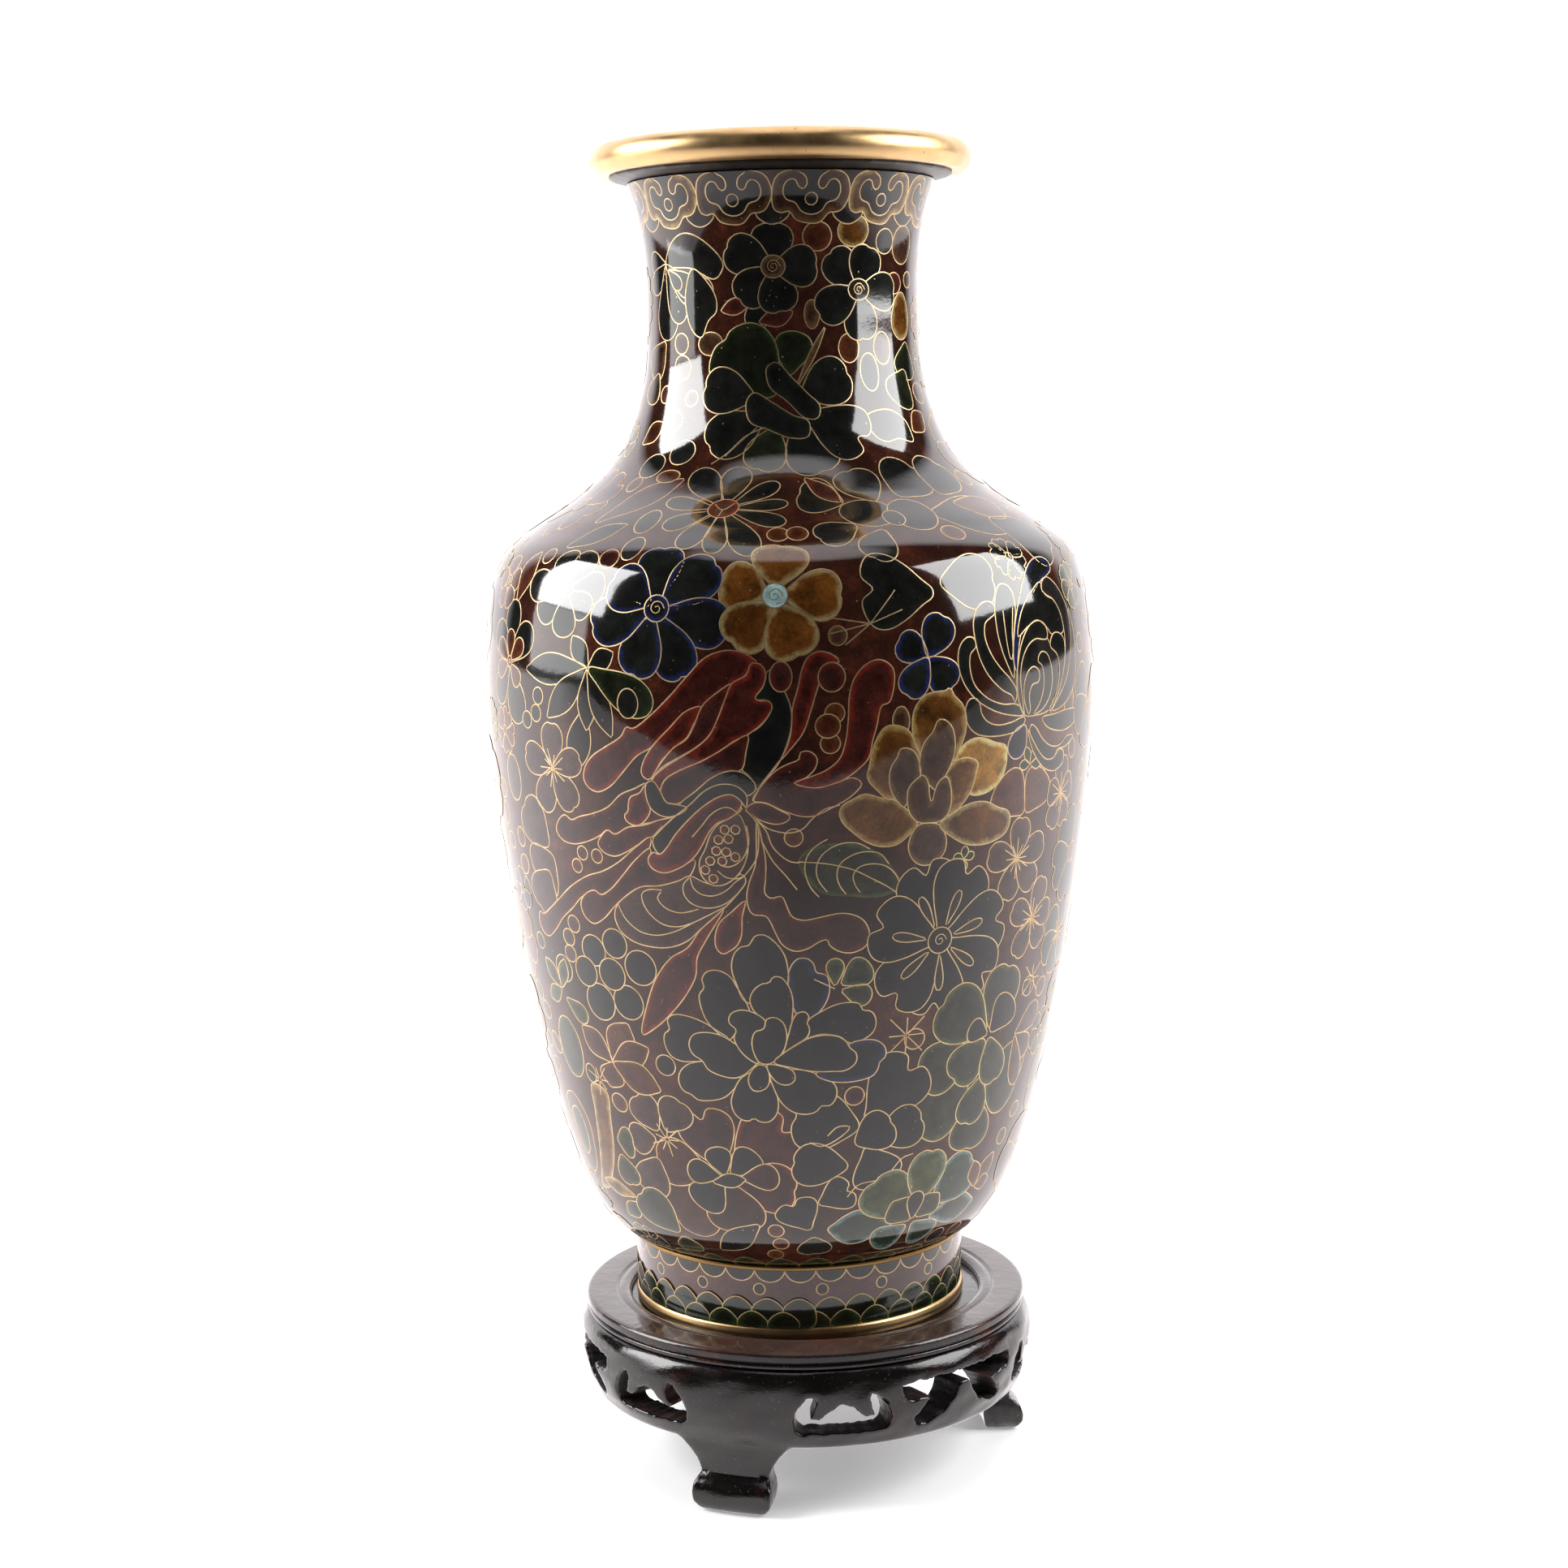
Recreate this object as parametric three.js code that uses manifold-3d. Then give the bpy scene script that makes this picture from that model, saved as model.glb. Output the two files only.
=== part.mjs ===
// A baluster cloisonne vase on a turned and pierced wooden stand.
// Millimetres, +Z up. The origin is on the vase's axis, at the level the stand's feet rest on.
// Azimuths are degrees about +Z, 0 at -Y (the front) and growing towards +X.
import * as THREE from "three";
import { mergeVertices } from "three/addons/utils/BufferGeometryUtils.js";
import Module from "manifold-3d";

// Driving dimensions.
const vaseFacets = 36;
const standFacets = 36;
const apronFacets = 60;

const seatHeight = 35; // recess floor of the stand, where the vase's foot rests
const waistHeight = 50.7; // underside of the wire between foot and body
const enamelThickness = 0.8;
const copperThickness = 1;
const liningThickness = 0.4;

const rimRadius = 37.4; // centre line of the rolled brass lip
const rimTube = 3.5;
const rimCentreHeight = 285.5;
const rimFlatHeight = 282.6; // where the lip is soldered to the neck's flange

const footWall = { inner: 34.5, outer: 35.5 };
const footBandTop = 37.9;

const standShift = 1.2; // the vase stands a little to the left in its recess
const recessRadius = 39.4;
const ringUnderside = 32.9;
const panelUnderside = 30.4;
const panelTongue = { radius: 42.4, top: 33.4 };
const frontFootAzimuth = -20.4;
const footCount = 3;
const seamFromFoot = 81.8; // azimuth from a foot to the glued seam at its right
const seamGap = 0.3;

// Finished outer face of the vase from the waist wire to the lip, as [radius, height].
const wall = [
  [36.9, 51.7],
  [40.8, 54],
  [44.9, 58.6],
  [48.8, 66.7],
  [53.2, 80.8],
  [57.8, 101],
  [62.2, 126.3],
  [65.4, 151.5],
  [66.8, 171.7],
  [66.2, 185.8],
  [64.5, 195.9],
  [61.5, 203],
  [53.9, 209.1],
  [43.6, 216.1],
  [35.9, 224.2],
  [30.5, 238.4],
  [29.3, 252.5],
  [29.5, 264.6],
  [31.1, 274.7],
  [33, 280.8],
];
const bellySeam = 7; // station where the two halves of the copper body are soldered
const neckSeam = 13; // station where the neck is soldered to the shoulder
const neckTop = wall.length - 1;

// Section of the stand's turned ring, from the panel's tongue out and round to the recess.
const ringSection = [
  [panelTongue.radius, ringUnderside],
  [48.8, ringUnderside],
  [49.2, 33.2],
  [49.2, 33.9],
  [48.6, 34.2],
  [48.6, 34.5],
  [49.4, 34.7],
  [49.4, 36],
  [49.1, 36.5],
  [48.5, 36.7],
  [42.8, 36.7],
  [42.3, 36.3],
  [41.8, 36.6],
  [40.9, 36.8],
  [39.9, 36.5],
  [recessRadius, 35.9],
  [recessRadius, panelTongue.top],
  [panelTongue.radius, panelTongue.top],
];

// Section of the pierced apron.
const apronSection = [
  [43.2, 15.2],
  [47.5, 15.2],
  [48.2, 15.9],
  [49.6, 19],
  [50.6, 23],
  [51, 26.4],
  [50.9, 28.5],
  [50.3, 31],
  [49.5, 32.3],
  [48.8, ringUnderside],
  [42.6, ringUnderside],
  [42.6, 26],
];

// Side view of a foot: the outside rises from the toe's roll, the inside comes down.
const footSection = [
  [41.6, 0],
  [47.6, 0],
  [48.6, 0.7],
  [49.4, 2.2],
  [49.5, 4],
  [49, 5.8],
  [47.7, 7.1],
  [46.4, 7.6],
  [46.6, 10.5],
  [47.3, 13.5],
  [47.8, 15.4],
  [48.3, 16.6],
  [42.9, 16.6],
  [41.2, 12],
  [40.6, 7.6],
  [40.2, 4],
  [40.6, 1],
];

// Right half of a foot's front view, from the ground up, as [offset, height].
const footOutline = [
  [6.4, -1],
  [6.4, 0],
  [7.6, 0.6],
  [8.6, 2],
  [8.9, 4],
  [8.8, 6],
  [8.3, 7.4],
  [8.2, 8.4],
  [8.9, 10.2],
  [10.3, 12.4],
  [12.8, 15.2],
  [14, 16.2],
  [14, 18],
];

// Right half of the U-shaped piercing beside each foot, from its sill up to the middle bump.
const bracketOutline = [
  [8.4, 19],
  [9.8, 19.9],
  [10.4, 21.6],
  [9.4, 25],
  [7.2, 27.2],
  [5.8, 27.5],
  [5.3, 26.4],
  [6.6, 22.6],
  [4.8, 22.4],
  [1.8, 24.9],
  [0.4, 25.6],
];

// Right half of the winged piercing between feet, from the tongue's tip down and round to the top.
const wingOutline = [
  [1, 26.3],
  [2.8, 23.3],
  [4.9, 20.8],
  [9.4, 18.7],
  [11.6, 18.7],
  [12.4, 20.2],
  [8.4, 24.6],
  [13.6, 25],
  [15.1, 26.1],
  [15.4, 28.3],
  [8, 28.7],
];

// Azimuths of the piercings, measured from their foot.
const piercings = [
  { outline: bracketOutline, azimuth: -23.1 },
  { outline: bracketOutline, azimuth: 28.9 },
  { outline: wingOutline, azimuth: 62.2 },
];

const copper = { color: 0xb87345, metalness: 1, roughness: 0.45 };
const gilt = { color: 0xc9a254, metalness: 1, roughness: 0.25 };
const enamel = { color: 0x2a1210, metalness: 0, roughness: 0.12 };
const lining = { color: 0x2c5a66, metalness: 0, roughness: 0.3 };
const lacqueredWood = { color: 0x191413, metalness: 0, roughness: 0.3 };

const wasm = await Module();
wasm.setup();

const radians = THREE.MathUtils.degToRad;

// A body of revolution about +Z. A profile that misses the axis closes on itself.
function turned(profile, facets) {
  const onAxis = profile[0][0] === 0;
  const outline = onAxis ? profile : [...profile, profile[0]];
  const points = outline.map(([radius, height]) => new THREE.Vector2(radius, height));
  return new THREE.LatheGeometry(points, facets).rotateX(Math.PI / 2);
}

// A face parallel to the wall and a given depth inside it. Both ends stay level.
function inside(depth) {
  return wall.map(([radius, height], i) => {
    if (i === 0 || i === neckTop) return [radius - depth, height];
    const [radiusBelow, heightBelow] = wall[i - 1];
    const [radiusAbove, heightAbove] = wall[i + 1];
    const below = new THREE.Vector2(radius - radiusBelow, height - heightBelow).normalize();
    const above = new THREE.Vector2(radiusAbove - radius, heightAbove - height).normalize();
    const along = below.add(above).normalize();
    return [radius - depth * along.y, height + depth * along.x];
  });
}

// The closed section between two parallel faces, from one station to another.
function layer(outer, inner, from, to) {
  return [...outer.slice(from, to + 1), ...inner.slice(from, to + 1).reverse()];
}

// A symmetric outline seen from the front, made solid over the stand's wall at azimuth 0.
function throughWall(halfOutline) {
  const nearRadius = 36;
  const farRadius = 54;
  const leftHalf = halfOutline.map(([offset, height]) => [-offset, height]).reverse();
  const points = [...halfOutline, ...leftHalf].map(([x, y]) => new THREE.Vector2(x, y));
  const depth = farRadius - nearRadius;
  const geometry = new THREE.ExtrudeGeometry(new THREE.Shape(points), { depth, bevelEnabled: false });
  return geometry.rotateX(Math.PI / 2).translate(0, -nearRadius, 0);
}

// The slice of the stand between the seams at the left and right of a foot at azimuth 0.
function sectorBetweenSeams() {
  const reach = 80;
  const left = radians(seamFromFoot - 360 / footCount);
  const right = radians(seamFromFoot);
  const at = (azimuth) => new THREE.Vector2(reach * Math.sin(azimuth), -reach * Math.cos(azimuth));
  const middle = (left + right) / 2;
  const shape = new THREE.Shape([new THREE.Vector2(0, 0), at(left), at(middle), at(right)]);
  const inward = seamGap / 2 / Math.sin((right - left) / 2);
  return new THREE.ExtrudeGeometry(shape, { depth: 40, bevelEnabled: false }).translate(
    inward * Math.sin(middle),
    -inward * Math.cos(middle),
    0,
  );
}

function solid(geometry) {
  const bare = new THREE.BufferGeometry();
  const source = geometry.index ? geometry.toNonIndexed() : geometry;
  bare.setAttribute("position", source.getAttribute("position"));
  const merged = mergeVertices(bare, 1e-4);
  return new wasm.Manifold(
    new wasm.Mesh({
      numProp: 3,
      vertProperties: merged.attributes.position.array,
      triVerts: new Uint32Array(merged.index.array),
    }),
  );
}

function geometryOf(manifold) {
  const mesh = manifold.getMesh();
  const geometry = new THREE.BufferGeometry();
  geometry.setAttribute("position", new THREE.BufferAttribute(mesh.vertProperties, 3));
  geometry.setIndex(new THREE.BufferAttribute(mesh.triVerts, 1));
  return geometry;
}

function piece(name, geometry, look) {
  const flat = geometry.index ? geometry.toNonIndexed() : geometry;
  flat.computeVertexNormals();
  const mesh = new THREE.Mesh(flat, new THREE.MeshStandardMaterial(look));
  mesh.name = name;
  return mesh;
}

// The rolled lip: a round bar with a flat where it meets the flange.
function mouthRim() {
  const arcSteps = 12;
  const start = Math.asin((rimFlatHeight - rimCentreHeight) / rimTube);
  const section = [];
  for (let i = 0; i <= arcSteps; i += 1) {
    const angle = THREE.MathUtils.lerp(start, Math.PI - start, i / arcSteps);
    const radius = rimRadius + rimTube * Math.cos(angle);
    section.push([radius, rimCentreHeight + rimTube * Math.sin(angle)]);
  }
  return piece("mouth_rim", turned(section, vaseFacets), gilt);
}

function vase() {
  const copperFace = inside(enamelThickness);
  const copperBack = inside(enamelThickness + copperThickness);
  const liningBack = inside(enamelThickness + copperThickness + liningThickness);
  const flange = [
    [33.4, 281.2],
    [36.4, 281.9],
    [36.9, 282.2],
    [36.9, rimFlatHeight],
    [33.9, rimFlatHeight],
  ];
  const floorEdge = wall[0][0] - enamelThickness;
  const floorTop = wall[0][1];
  const sections = {
    neck_core: [
      copper,
      [
        ...copperFace.slice(neckSeam),
        ...flange,
        ...copperBack.slice(neckSeam).reverse(),
      ],
    ],
    neck_enamel: [enamel, layer(wall, copperFace, neckSeam, neckTop)],
    neck_lining: [lining, layer(copperBack, liningBack, neckSeam, neckTop)],
    body_core_upper: [copper, layer(copperFace, copperBack, bellySeam, neckSeam)],
    body_core_lower: [
      copper,
      [
        [0, waistHeight],
        [floorEdge, waistHeight],
        ...copperFace.slice(0, bellySeam + 1),
        ...copperBack.slice(0, bellySeam + 1).reverse(),
        [0, floorTop],
      ],
    ],
    body_enamel: [enamel, layer(wall, copperFace, 0, neckSeam)],
    waist_wire: [
      gilt,
      [
        [floorEdge, waistHeight],
        [37.1, waistHeight],
        [37.4, waistHeight + 0.3],
        [37.4, floorTop - 0.3],
        [37.1, floorTop],
        [floorEdge, floorTop],
      ],
    ],
    foot_core: [
      copper,
      [
        [footWall.inner, seatHeight],
        [footWall.outer, seatHeight],
        [footWall.outer, waistHeight],
        [footWall.inner, waistHeight],
      ],
    ],
    foot_enamel: [
      enamel,
      [
        [footWall.outer, footBandTop],
        [36.3, footBandTop],
        [36.5, 42],
        [36.9, waistHeight],
        [footWall.outer, waistHeight],
      ],
    ],
    foot_band: [
      gilt,
      [
        [footWall.outer, seatHeight],
        [36.5, seatHeight],
        [36.9, seatHeight + 0.6],
        [37, seatHeight + 1.5],
        [36.8, footBandTop - 0.4],
        [36.4, footBandTop],
        [footWall.outer, footBandTop],
      ],
    ],
    base_enamel: [
      lining,
      [
        [0, waistHeight - liningThickness],
        [footWall.inner, waistHeight - liningThickness],
        [footWall.inner, waistHeight],
        [0, waistHeight],
      ],
    ],
  };
  const group = new THREE.Group();
  for (const [name, [look, section]] of Object.entries(sections)) {
    group.add(piece(name, turned(section, vaseFacets), look));
  }
  group.add(mouthRim());
  return group;
}

// One third of the apron with its foot, for a foot at azimuth 0.
function apronSegment() {
  const foot = solid(turned(footSection, apronFacets)).intersect(solid(throughWall(footOutline)));
  let segment = solid(turned(apronSection, apronFacets));
  segment = segment.intersect(solid(sectorBetweenSeams())).add(foot);
  for (const { outline, azimuth } of piercings) {
    segment = segment.subtract(solid(throughWall(outline).rotateZ(radians(azimuth))));
  }
  return geometryOf(segment);
}

function stand() {
  const seatPanel = [
    [0, panelUnderside],
    [panelTongue.radius, panelUnderside],
    [panelTongue.radius, panelTongue.top],
    [recessRadius, panelTongue.top],
    [recessRadius, seatHeight],
    [0, seatHeight],
  ];
  const group = new THREE.Group();
  group.position.x = standShift;
  group.add(piece("seat_panel", turned(seatPanel, standFacets), lacqueredWood));
  group.add(piece("top_ring", turned(ringSection, standFacets), lacqueredWood));
  for (let i = 0; i < footCount; i += 1) {
    const segment = piece(`apron_segment_${i + 1}`, apronSegment(), lacqueredWood);
    segment.rotation.z = radians(frontFootAzimuth + (i * 360) / footCount);
    group.add(segment);
  }
  return group;
}

const model = new THREE.Group();
model.add(stand(), vase());

export default model;
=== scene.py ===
"""Looks for the cloisonne vase on its carved stand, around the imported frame.

Lengths in the tables are millimetres and angles are degrees. A place on the vase is
(azimuth, arc length): azimuth 0 faces -Y and grows towards +X, and the arc length runs up
the wall from the waist. Colours are sRGB from 0 to 255. A cell lies on top of the cells made
before it, so the order of the calls is the painter's order.
"""
import math
import random

import bpy
import numpy as np
from mathutils import Matrix, Vector
from mathutils.geometry import delaunay_2d_cdt


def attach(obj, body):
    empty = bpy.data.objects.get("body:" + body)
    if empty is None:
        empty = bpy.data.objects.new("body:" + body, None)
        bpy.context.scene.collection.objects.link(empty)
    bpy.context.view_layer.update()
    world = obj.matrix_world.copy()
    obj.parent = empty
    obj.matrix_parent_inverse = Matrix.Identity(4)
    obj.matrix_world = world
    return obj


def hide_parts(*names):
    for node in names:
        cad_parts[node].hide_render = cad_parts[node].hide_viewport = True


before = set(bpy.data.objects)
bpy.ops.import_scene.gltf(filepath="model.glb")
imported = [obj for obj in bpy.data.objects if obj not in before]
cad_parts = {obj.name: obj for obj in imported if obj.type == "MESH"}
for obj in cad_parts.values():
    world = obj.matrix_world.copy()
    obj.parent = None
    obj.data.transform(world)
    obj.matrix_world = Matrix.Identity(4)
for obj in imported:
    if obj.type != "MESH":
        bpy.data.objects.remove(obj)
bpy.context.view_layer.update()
MM = 0.001
RNG = random.Random(11)

# ---------------------------------------------------------------- profiles
WALL = [
    (36.9, 51.7), (40.8, 54), (44.9, 58.6), (48.8, 66.7), (53.2, 80.8), (57.8, 101), (62.2, 126.3),
    (65.4, 151.5), (66.8, 171.7), (66.2, 185.8), (64.5, 195.9), (61.5, 203), (53.9, 209.1),
    (43.6, 216.1), (35.9, 224.2), (30.5, 238.4), (29.3, 252.5), (29.5, 264.6), (31.1, 274.7),
    (33, 280.8),
]
FOOT_WALL = [(36.3, 37.9), (36.5, 42), (36.7, 46.5), (36.9, 50.7)]
FOOT_START = 37.9  # arc length at the foot wall's lower end
ENAMEL = 0.8
SPAN_STEPS = 40  # curve points per span of a profile


def spline(points, per_span, closed=False):
    """Centripetal Catmull-Rom curve through the points."""
    p = np.array(points, float)
    n = len(p)
    if closed:
        p = np.vstack([p[-1], p, p[0], p[1]])
        spans = n
    else:
        p = np.vstack([2 * p[0] - p[1], p, 2 * p[-1] - p[-2]])
        spans = n - 1
    out = []
    u = np.linspace(0, 1, per_span, endpoint=False)[:, None]
    for i in range(spans):
        a, b, c, d = p[i:i + 4]
        t1 = max(np.linalg.norm(b - a), 1e-6) ** 0.5
        t2 = t1 + max(np.linalg.norm(c - b), 1e-6) ** 0.5
        t3 = t2 + max(np.linalg.norm(d - c), 1e-6) ** 0.5
        t = t1 + (t2 - t1) * u
        ab = (t1 - t) / t1 * a + t / t1 * b
        bc = (t2 - t) / (t2 - t1) * b + (t - t1) / (t2 - t1) * c
        cd = (t3 - t) / (t3 - t2) * c + (t - t2) / (t3 - t2) * d
        abc = (t2 - t) / t2 * ab + t / t2 * bc
        bcd = (t3 - t) / (t3 - t1) * bc + (t - t1) / (t3 - t1) * cd
        out.append((t2 - t) / (t2 - t1) * abc + (t - t1) / (t2 - t1) * bcd)
    if not closed:
        out.append(p[-2][None])
    return np.vstack(out)


class Wall:
    """A turned wall: radius, height and outward normal against arc length."""

    def __init__(self, points, start=0.0):
        curve = spline(points, SPAN_STEPS)
        step = np.diff(curve, axis=0)
        self.s = start + np.concatenate([[0], np.cumsum(np.hypot(step[:, 0], step[:, 1]))])
        self.r, self.z = curve[:, 0], curve[:, 1]
        tr, tz = np.gradient(self.r, self.s), np.gradient(self.z, self.s)
        size = np.hypot(tr, tz)
        self.nr, self.nz = tz / size, -tr / size
        self.low, self.high = self.s[0], self.s[-1]

    def radius(self, s):
        return np.interp(s, self.s, self.r)

    def section(self, s, lift):
        """Radius and height of the points that lie lift mm off the wall."""
        nr, nz = np.interp(s, self.s, self.nr), np.interp(s, self.s, self.nz)
        return np.stack([self.radius(s) + lift * nr, np.interp(s, self.s, self.z) + lift * nz], -1)

    def place(self, az, s, lift):
        """Points (metres) and normals at azimuths az, arc lengths s, lift mm off the wall."""
        az = np.radians(az)
        s = np.clip(s, self.low, self.high)
        nr, nz = np.interp(s, self.s, self.nr), np.interp(s, self.s, self.nz)
        r, z = self.section(s, lift).T
        sin, cos = np.sin(az), np.cos(az)
        points = np.stack([r * sin, -r * cos, z], -1) * MM
        return points, np.stack([nr * sin, -nr * cos, nz], -1)


BODY = Wall(WALL)
FOOT = Wall(FOOT_WALL, FOOT_START)


# ---------------------------------------------------------------- mesh helpers
def srgb(*rgb):
    """Linear colour from sRGB values."""
    c = np.array(rgb, float) / 255
    return tuple(np.where(c <= 0.04045, c / 12.92, ((c + 0.055) / 1.055) ** 2.4))


def make_piece(name, verts, faces, body, material, normals=None, replaces=()):
    """A smooth mesh that rides on a body and stands for the CAD pieces it replaces."""
    mesh = bpy.data.meshes.new(name)
    mesh.from_pydata(np.asarray(verts).tolist(), [], faces)
    mesh.polygons.foreach_set("use_smooth", [True] * len(mesh.polygons))
    mesh.validate()
    if normals is not None:
        mesh.normals_split_custom_set_from_vertices(np.asarray(normals).tolist())
    obj = bpy.data.objects.new(name, mesh)
    bpy.context.scene.collection.objects.link(obj)
    obj.data.materials.append(material)
    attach(obj, body)
    if replaces:
        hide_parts(*replaces)
    return obj


def lathe(name, section, body, material, segments, replaces=(), centre_x=0.0,
          wobble=0.0, sharp=None):
    """Turns a closed section about an upright axis; wobble mm makes it a little out of round.

    Sections run anticlockwise in (radius, height), which makes the faces look outwards.
    """
    sec = np.array(section, float)
    n = len(sec)
    verts = []
    for a in np.linspace(0, 2 * math.pi, segments, endpoint=False):
        r = sec[:, 0]
        if wobble:
            r = r + wobble * (math.sin(3 * a + 1) + 0.6 * math.sin(7 * a + 2) * math.cos(2 * a))
        verts.append(np.stack([centre_x + r * math.sin(a), -r * math.cos(a), sec[:, 1]], -1))
    verts = np.vstack(verts) * MM
    faces = []
    for i in range(segments):
        j = (i + 1) % segments
        for k in range(n):
            m = (k + 1) % n
            faces.append((i * n + k, j * n + k, j * n + m, i * n + m))
    obj = make_piece(name, verts, faces, body, material, None, replaces)
    if sharp:
        obj.data.set_sharp_from_angle(angle=math.radians(sharp))


CORNER_SHARE = 0.4  # the most of an edge that a rounded corner takes up


def rounded(section, radius, steps=4):
    """Rounds the corners of a closed section."""
    p = np.array(section, float)
    out = []
    for i in range(len(p)):
        a, b, c = p[i - 1], p[i], p[(i + 1) % len(p)]
        la, lc = np.linalg.norm(a - b), np.linalg.norm(c - b)
        cut = min(radius, CORNER_SHARE * la, CORNER_SHARE * lc)
        q0, q1 = b + (a - b) / la * cut, b + (c - b) / lc * cut
        for k in range(steps + 1):
            t = k / steps
            out.append((1 - t) ** 2 * q0 + 2 * t * (1 - t) * b + t * t * q1)
    return np.array(out)


# ---------------------------------------------------------------- materials
def is_socket(value):
    return isinstance(value, bpy.types.NodeSocket)


def add_node(tree, kind, inputs=None, **settings):
    """A node with its settings; an input is another node's socket or a plain value."""
    node = tree.nodes.new(kind)
    for key, value in settings.items():
        setattr(node, key, value)
    for key, value in (inputs or {}).items():
        if is_socket(value):
            tree.links.new(value, node.inputs[key])
        else:
            node.inputs[key].default_value = value
    return node


MIX_FACTOR, MIX_A, MIX_B, MIX_RESULT = 0, 6, 7, 2  # colour sockets of the Mix node
SHADER_SOCKETS = {"color": "Base Color", "rough": "Roughness", "metal": "Metallic", "ior": "IOR",
                  "normal": "Normal"}


class Nodes:
    """A small wrapper for building a material's node tree."""

    def __init__(self, name):
        self.material = bpy.data.materials.new(name)
        self.material.use_nodes = True
        self.tree = self.material.node_tree
        self.shader = self.tree.nodes["Principled BSDF"]
        self.coords = self.add("ShaderNodeTexCoord").outputs["Object"]

    def add(self, kind, inputs=None, **settings):
        return add_node(self.tree, kind, inputs, **settings)

    def noise(self, scale, detail=4.0, rough=0.55, stretch=None):
        vector = self.coords
        if stretch:
            vector = self.add("ShaderNodeMapping", {"Vector": vector, "Scale": stretch}).outputs[0]
        node = self.add("ShaderNodeTexNoise",
                        {"Vector": vector, "Scale": scale, "Detail": detail, "Roughness": rough})
        return node.outputs["Fac"]

    def ramp(self, value, low, high, to_low=0.0, to_high=1.0):
        node = self.add("ShaderNodeMapRange", {"Value": value, "From Min": low, "From Max": high,
                                               "To Min": to_low, "To Max": to_high})
        return node.outputs["Result"]

    def math(self, operation, a, b):
        return self.add("ShaderNodeMath", {0: a, 1: b}, operation=operation).outputs[0]

    def mix(self, factor, a, b, blend="MIX"):
        a, b = (color if is_socket(color) else (*color, 1) for color in (a, b))
        node = self.add("ShaderNodeMix", {MIX_FACTOR: factor, MIX_A: a, MIX_B: b},
                        data_type="RGBA", blend_type=blend)
        return node.outputs[MIX_RESULT]

    def shade(self, color, level):
        """The colour times a level."""
        grey = self.add("ShaderNodeCombineColor", {0: level, 1: level, 2: level}).outputs[0]
        return self.mix(1.0, color, grey, "MULTIPLY")

    def bump(self, height, strength, distance, chain=None):
        inputs = {"Height": height, "Strength": strength, "Distance": distance}
        if chain is not None:
            inputs["Normal"] = chain
        return self.add("ShaderNodeBump", inputs).outputs["Normal"]

    def set(self, **values):
        """Fills in the shader and returns the finished material."""
        for key, value in values.items():
            socket = self.shader.inputs[SHADER_SOCKETS[key]]
            if is_socket(value):
                self.tree.links.new(value, socket)
            else:
                socket.default_value = (*value, 1) if key == "color" else value
        return self.material


ENAMEL_ROUGH = 0.07
ENAMEL_IOR = 1.62


def enamel_normal(n):
    """Hand-polished enamel: slow waves and a few pits."""
    wave = n.bump(n.noise(60, 1.0), 0.10, 0.0006)
    return n.bump(n.noise(700, 2.0), 0.05, 0.00015, wave)


def speckle(n, color):
    """Fine bright and dark specks in fired enamel."""
    spots = n.add("ShaderNodeTexVoronoi", {"Vector": n.coords, "Scale": 520.0}).outputs["Distance"]
    bright = n.ramp(spots, 0.06, 0.13, 1.0, 0.0)
    seldom = n.ramp(n.noise(900, 1.0), 0.55, 0.62)
    lit = n.mix(n.math("MULTIPLY", bright, seldom), color, srgb(120, 96, 84))
    return n.shade(lit, n.ramp(n.noise(1600, 3.0, 0.7), 0.3, 0.7, 0.72, 1.25))


def ground_material(name, dark, mid, hot):
    """The ground enamel: broad clouds of two tones with small hot spots in them."""
    n = Nodes(name)
    broad = n.ramp(n.noise(38, 5.0, 0.6), 0.38, 0.66)
    fine = n.ramp(n.noise(260, 4.0, 0.6), 0.45, 0.72)
    color = n.mix(broad, dark, mid)
    color = n.mix(n.math("MULTIPLY", fine, broad), color, hot)
    return n.set(color=speckle(n, color), rough=ENAMEL_ROUGH, ior=ENAMEL_IOR, normal=enamel_normal(n))


def cell_material(name):
    """Enamel in the cells: each cell carries its own glaze and rim colour."""
    n = Nodes(name)
    fill = n.add("ShaderNodeAttribute", attribute_name="fill").outputs["Color"]
    rim = n.add("ShaderNodeAttribute", attribute_name="rim")
    edge = n.add("ShaderNodeAttribute", attribute_name="edge").outputs["Fac"]
    body = n.shade(fill, n.ramp(n.noise(240, 5.0, 0.62), 0.3, 0.72, 0.45, 1.7))
    reach = n.math("ADD", edge, n.ramp(n.noise(420, 3.0), 0.3, 0.7, -0.45, 0.45))
    near = n.ramp(reach, 0.1, 1.15, 1.0, 0.0)
    near = n.math("MULTIPLY", near, rim.outputs["Alpha"])
    color = n.mix(near, body, rim.outputs["Color"])
    return n.set(color=speckle(n, color), rough=ENAMEL_ROUGH, ior=ENAMEL_IOR, normal=enamel_normal(n))


def wire_material(name):
    """Thin gilt wire, ground flush and a little dull."""
    n = Nodes(name)
    tone = n.ramp(n.noise(350, 3.0), 0.35, 0.65)
    color = n.mix(tone, srgb(206, 182, 142), srgb(180, 152, 112))
    return n.set(color=color, rough=0.42, metal=1.0, normal=n.bump(n.noise(2500, 2.0), 0.2, 0.00005))


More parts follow.
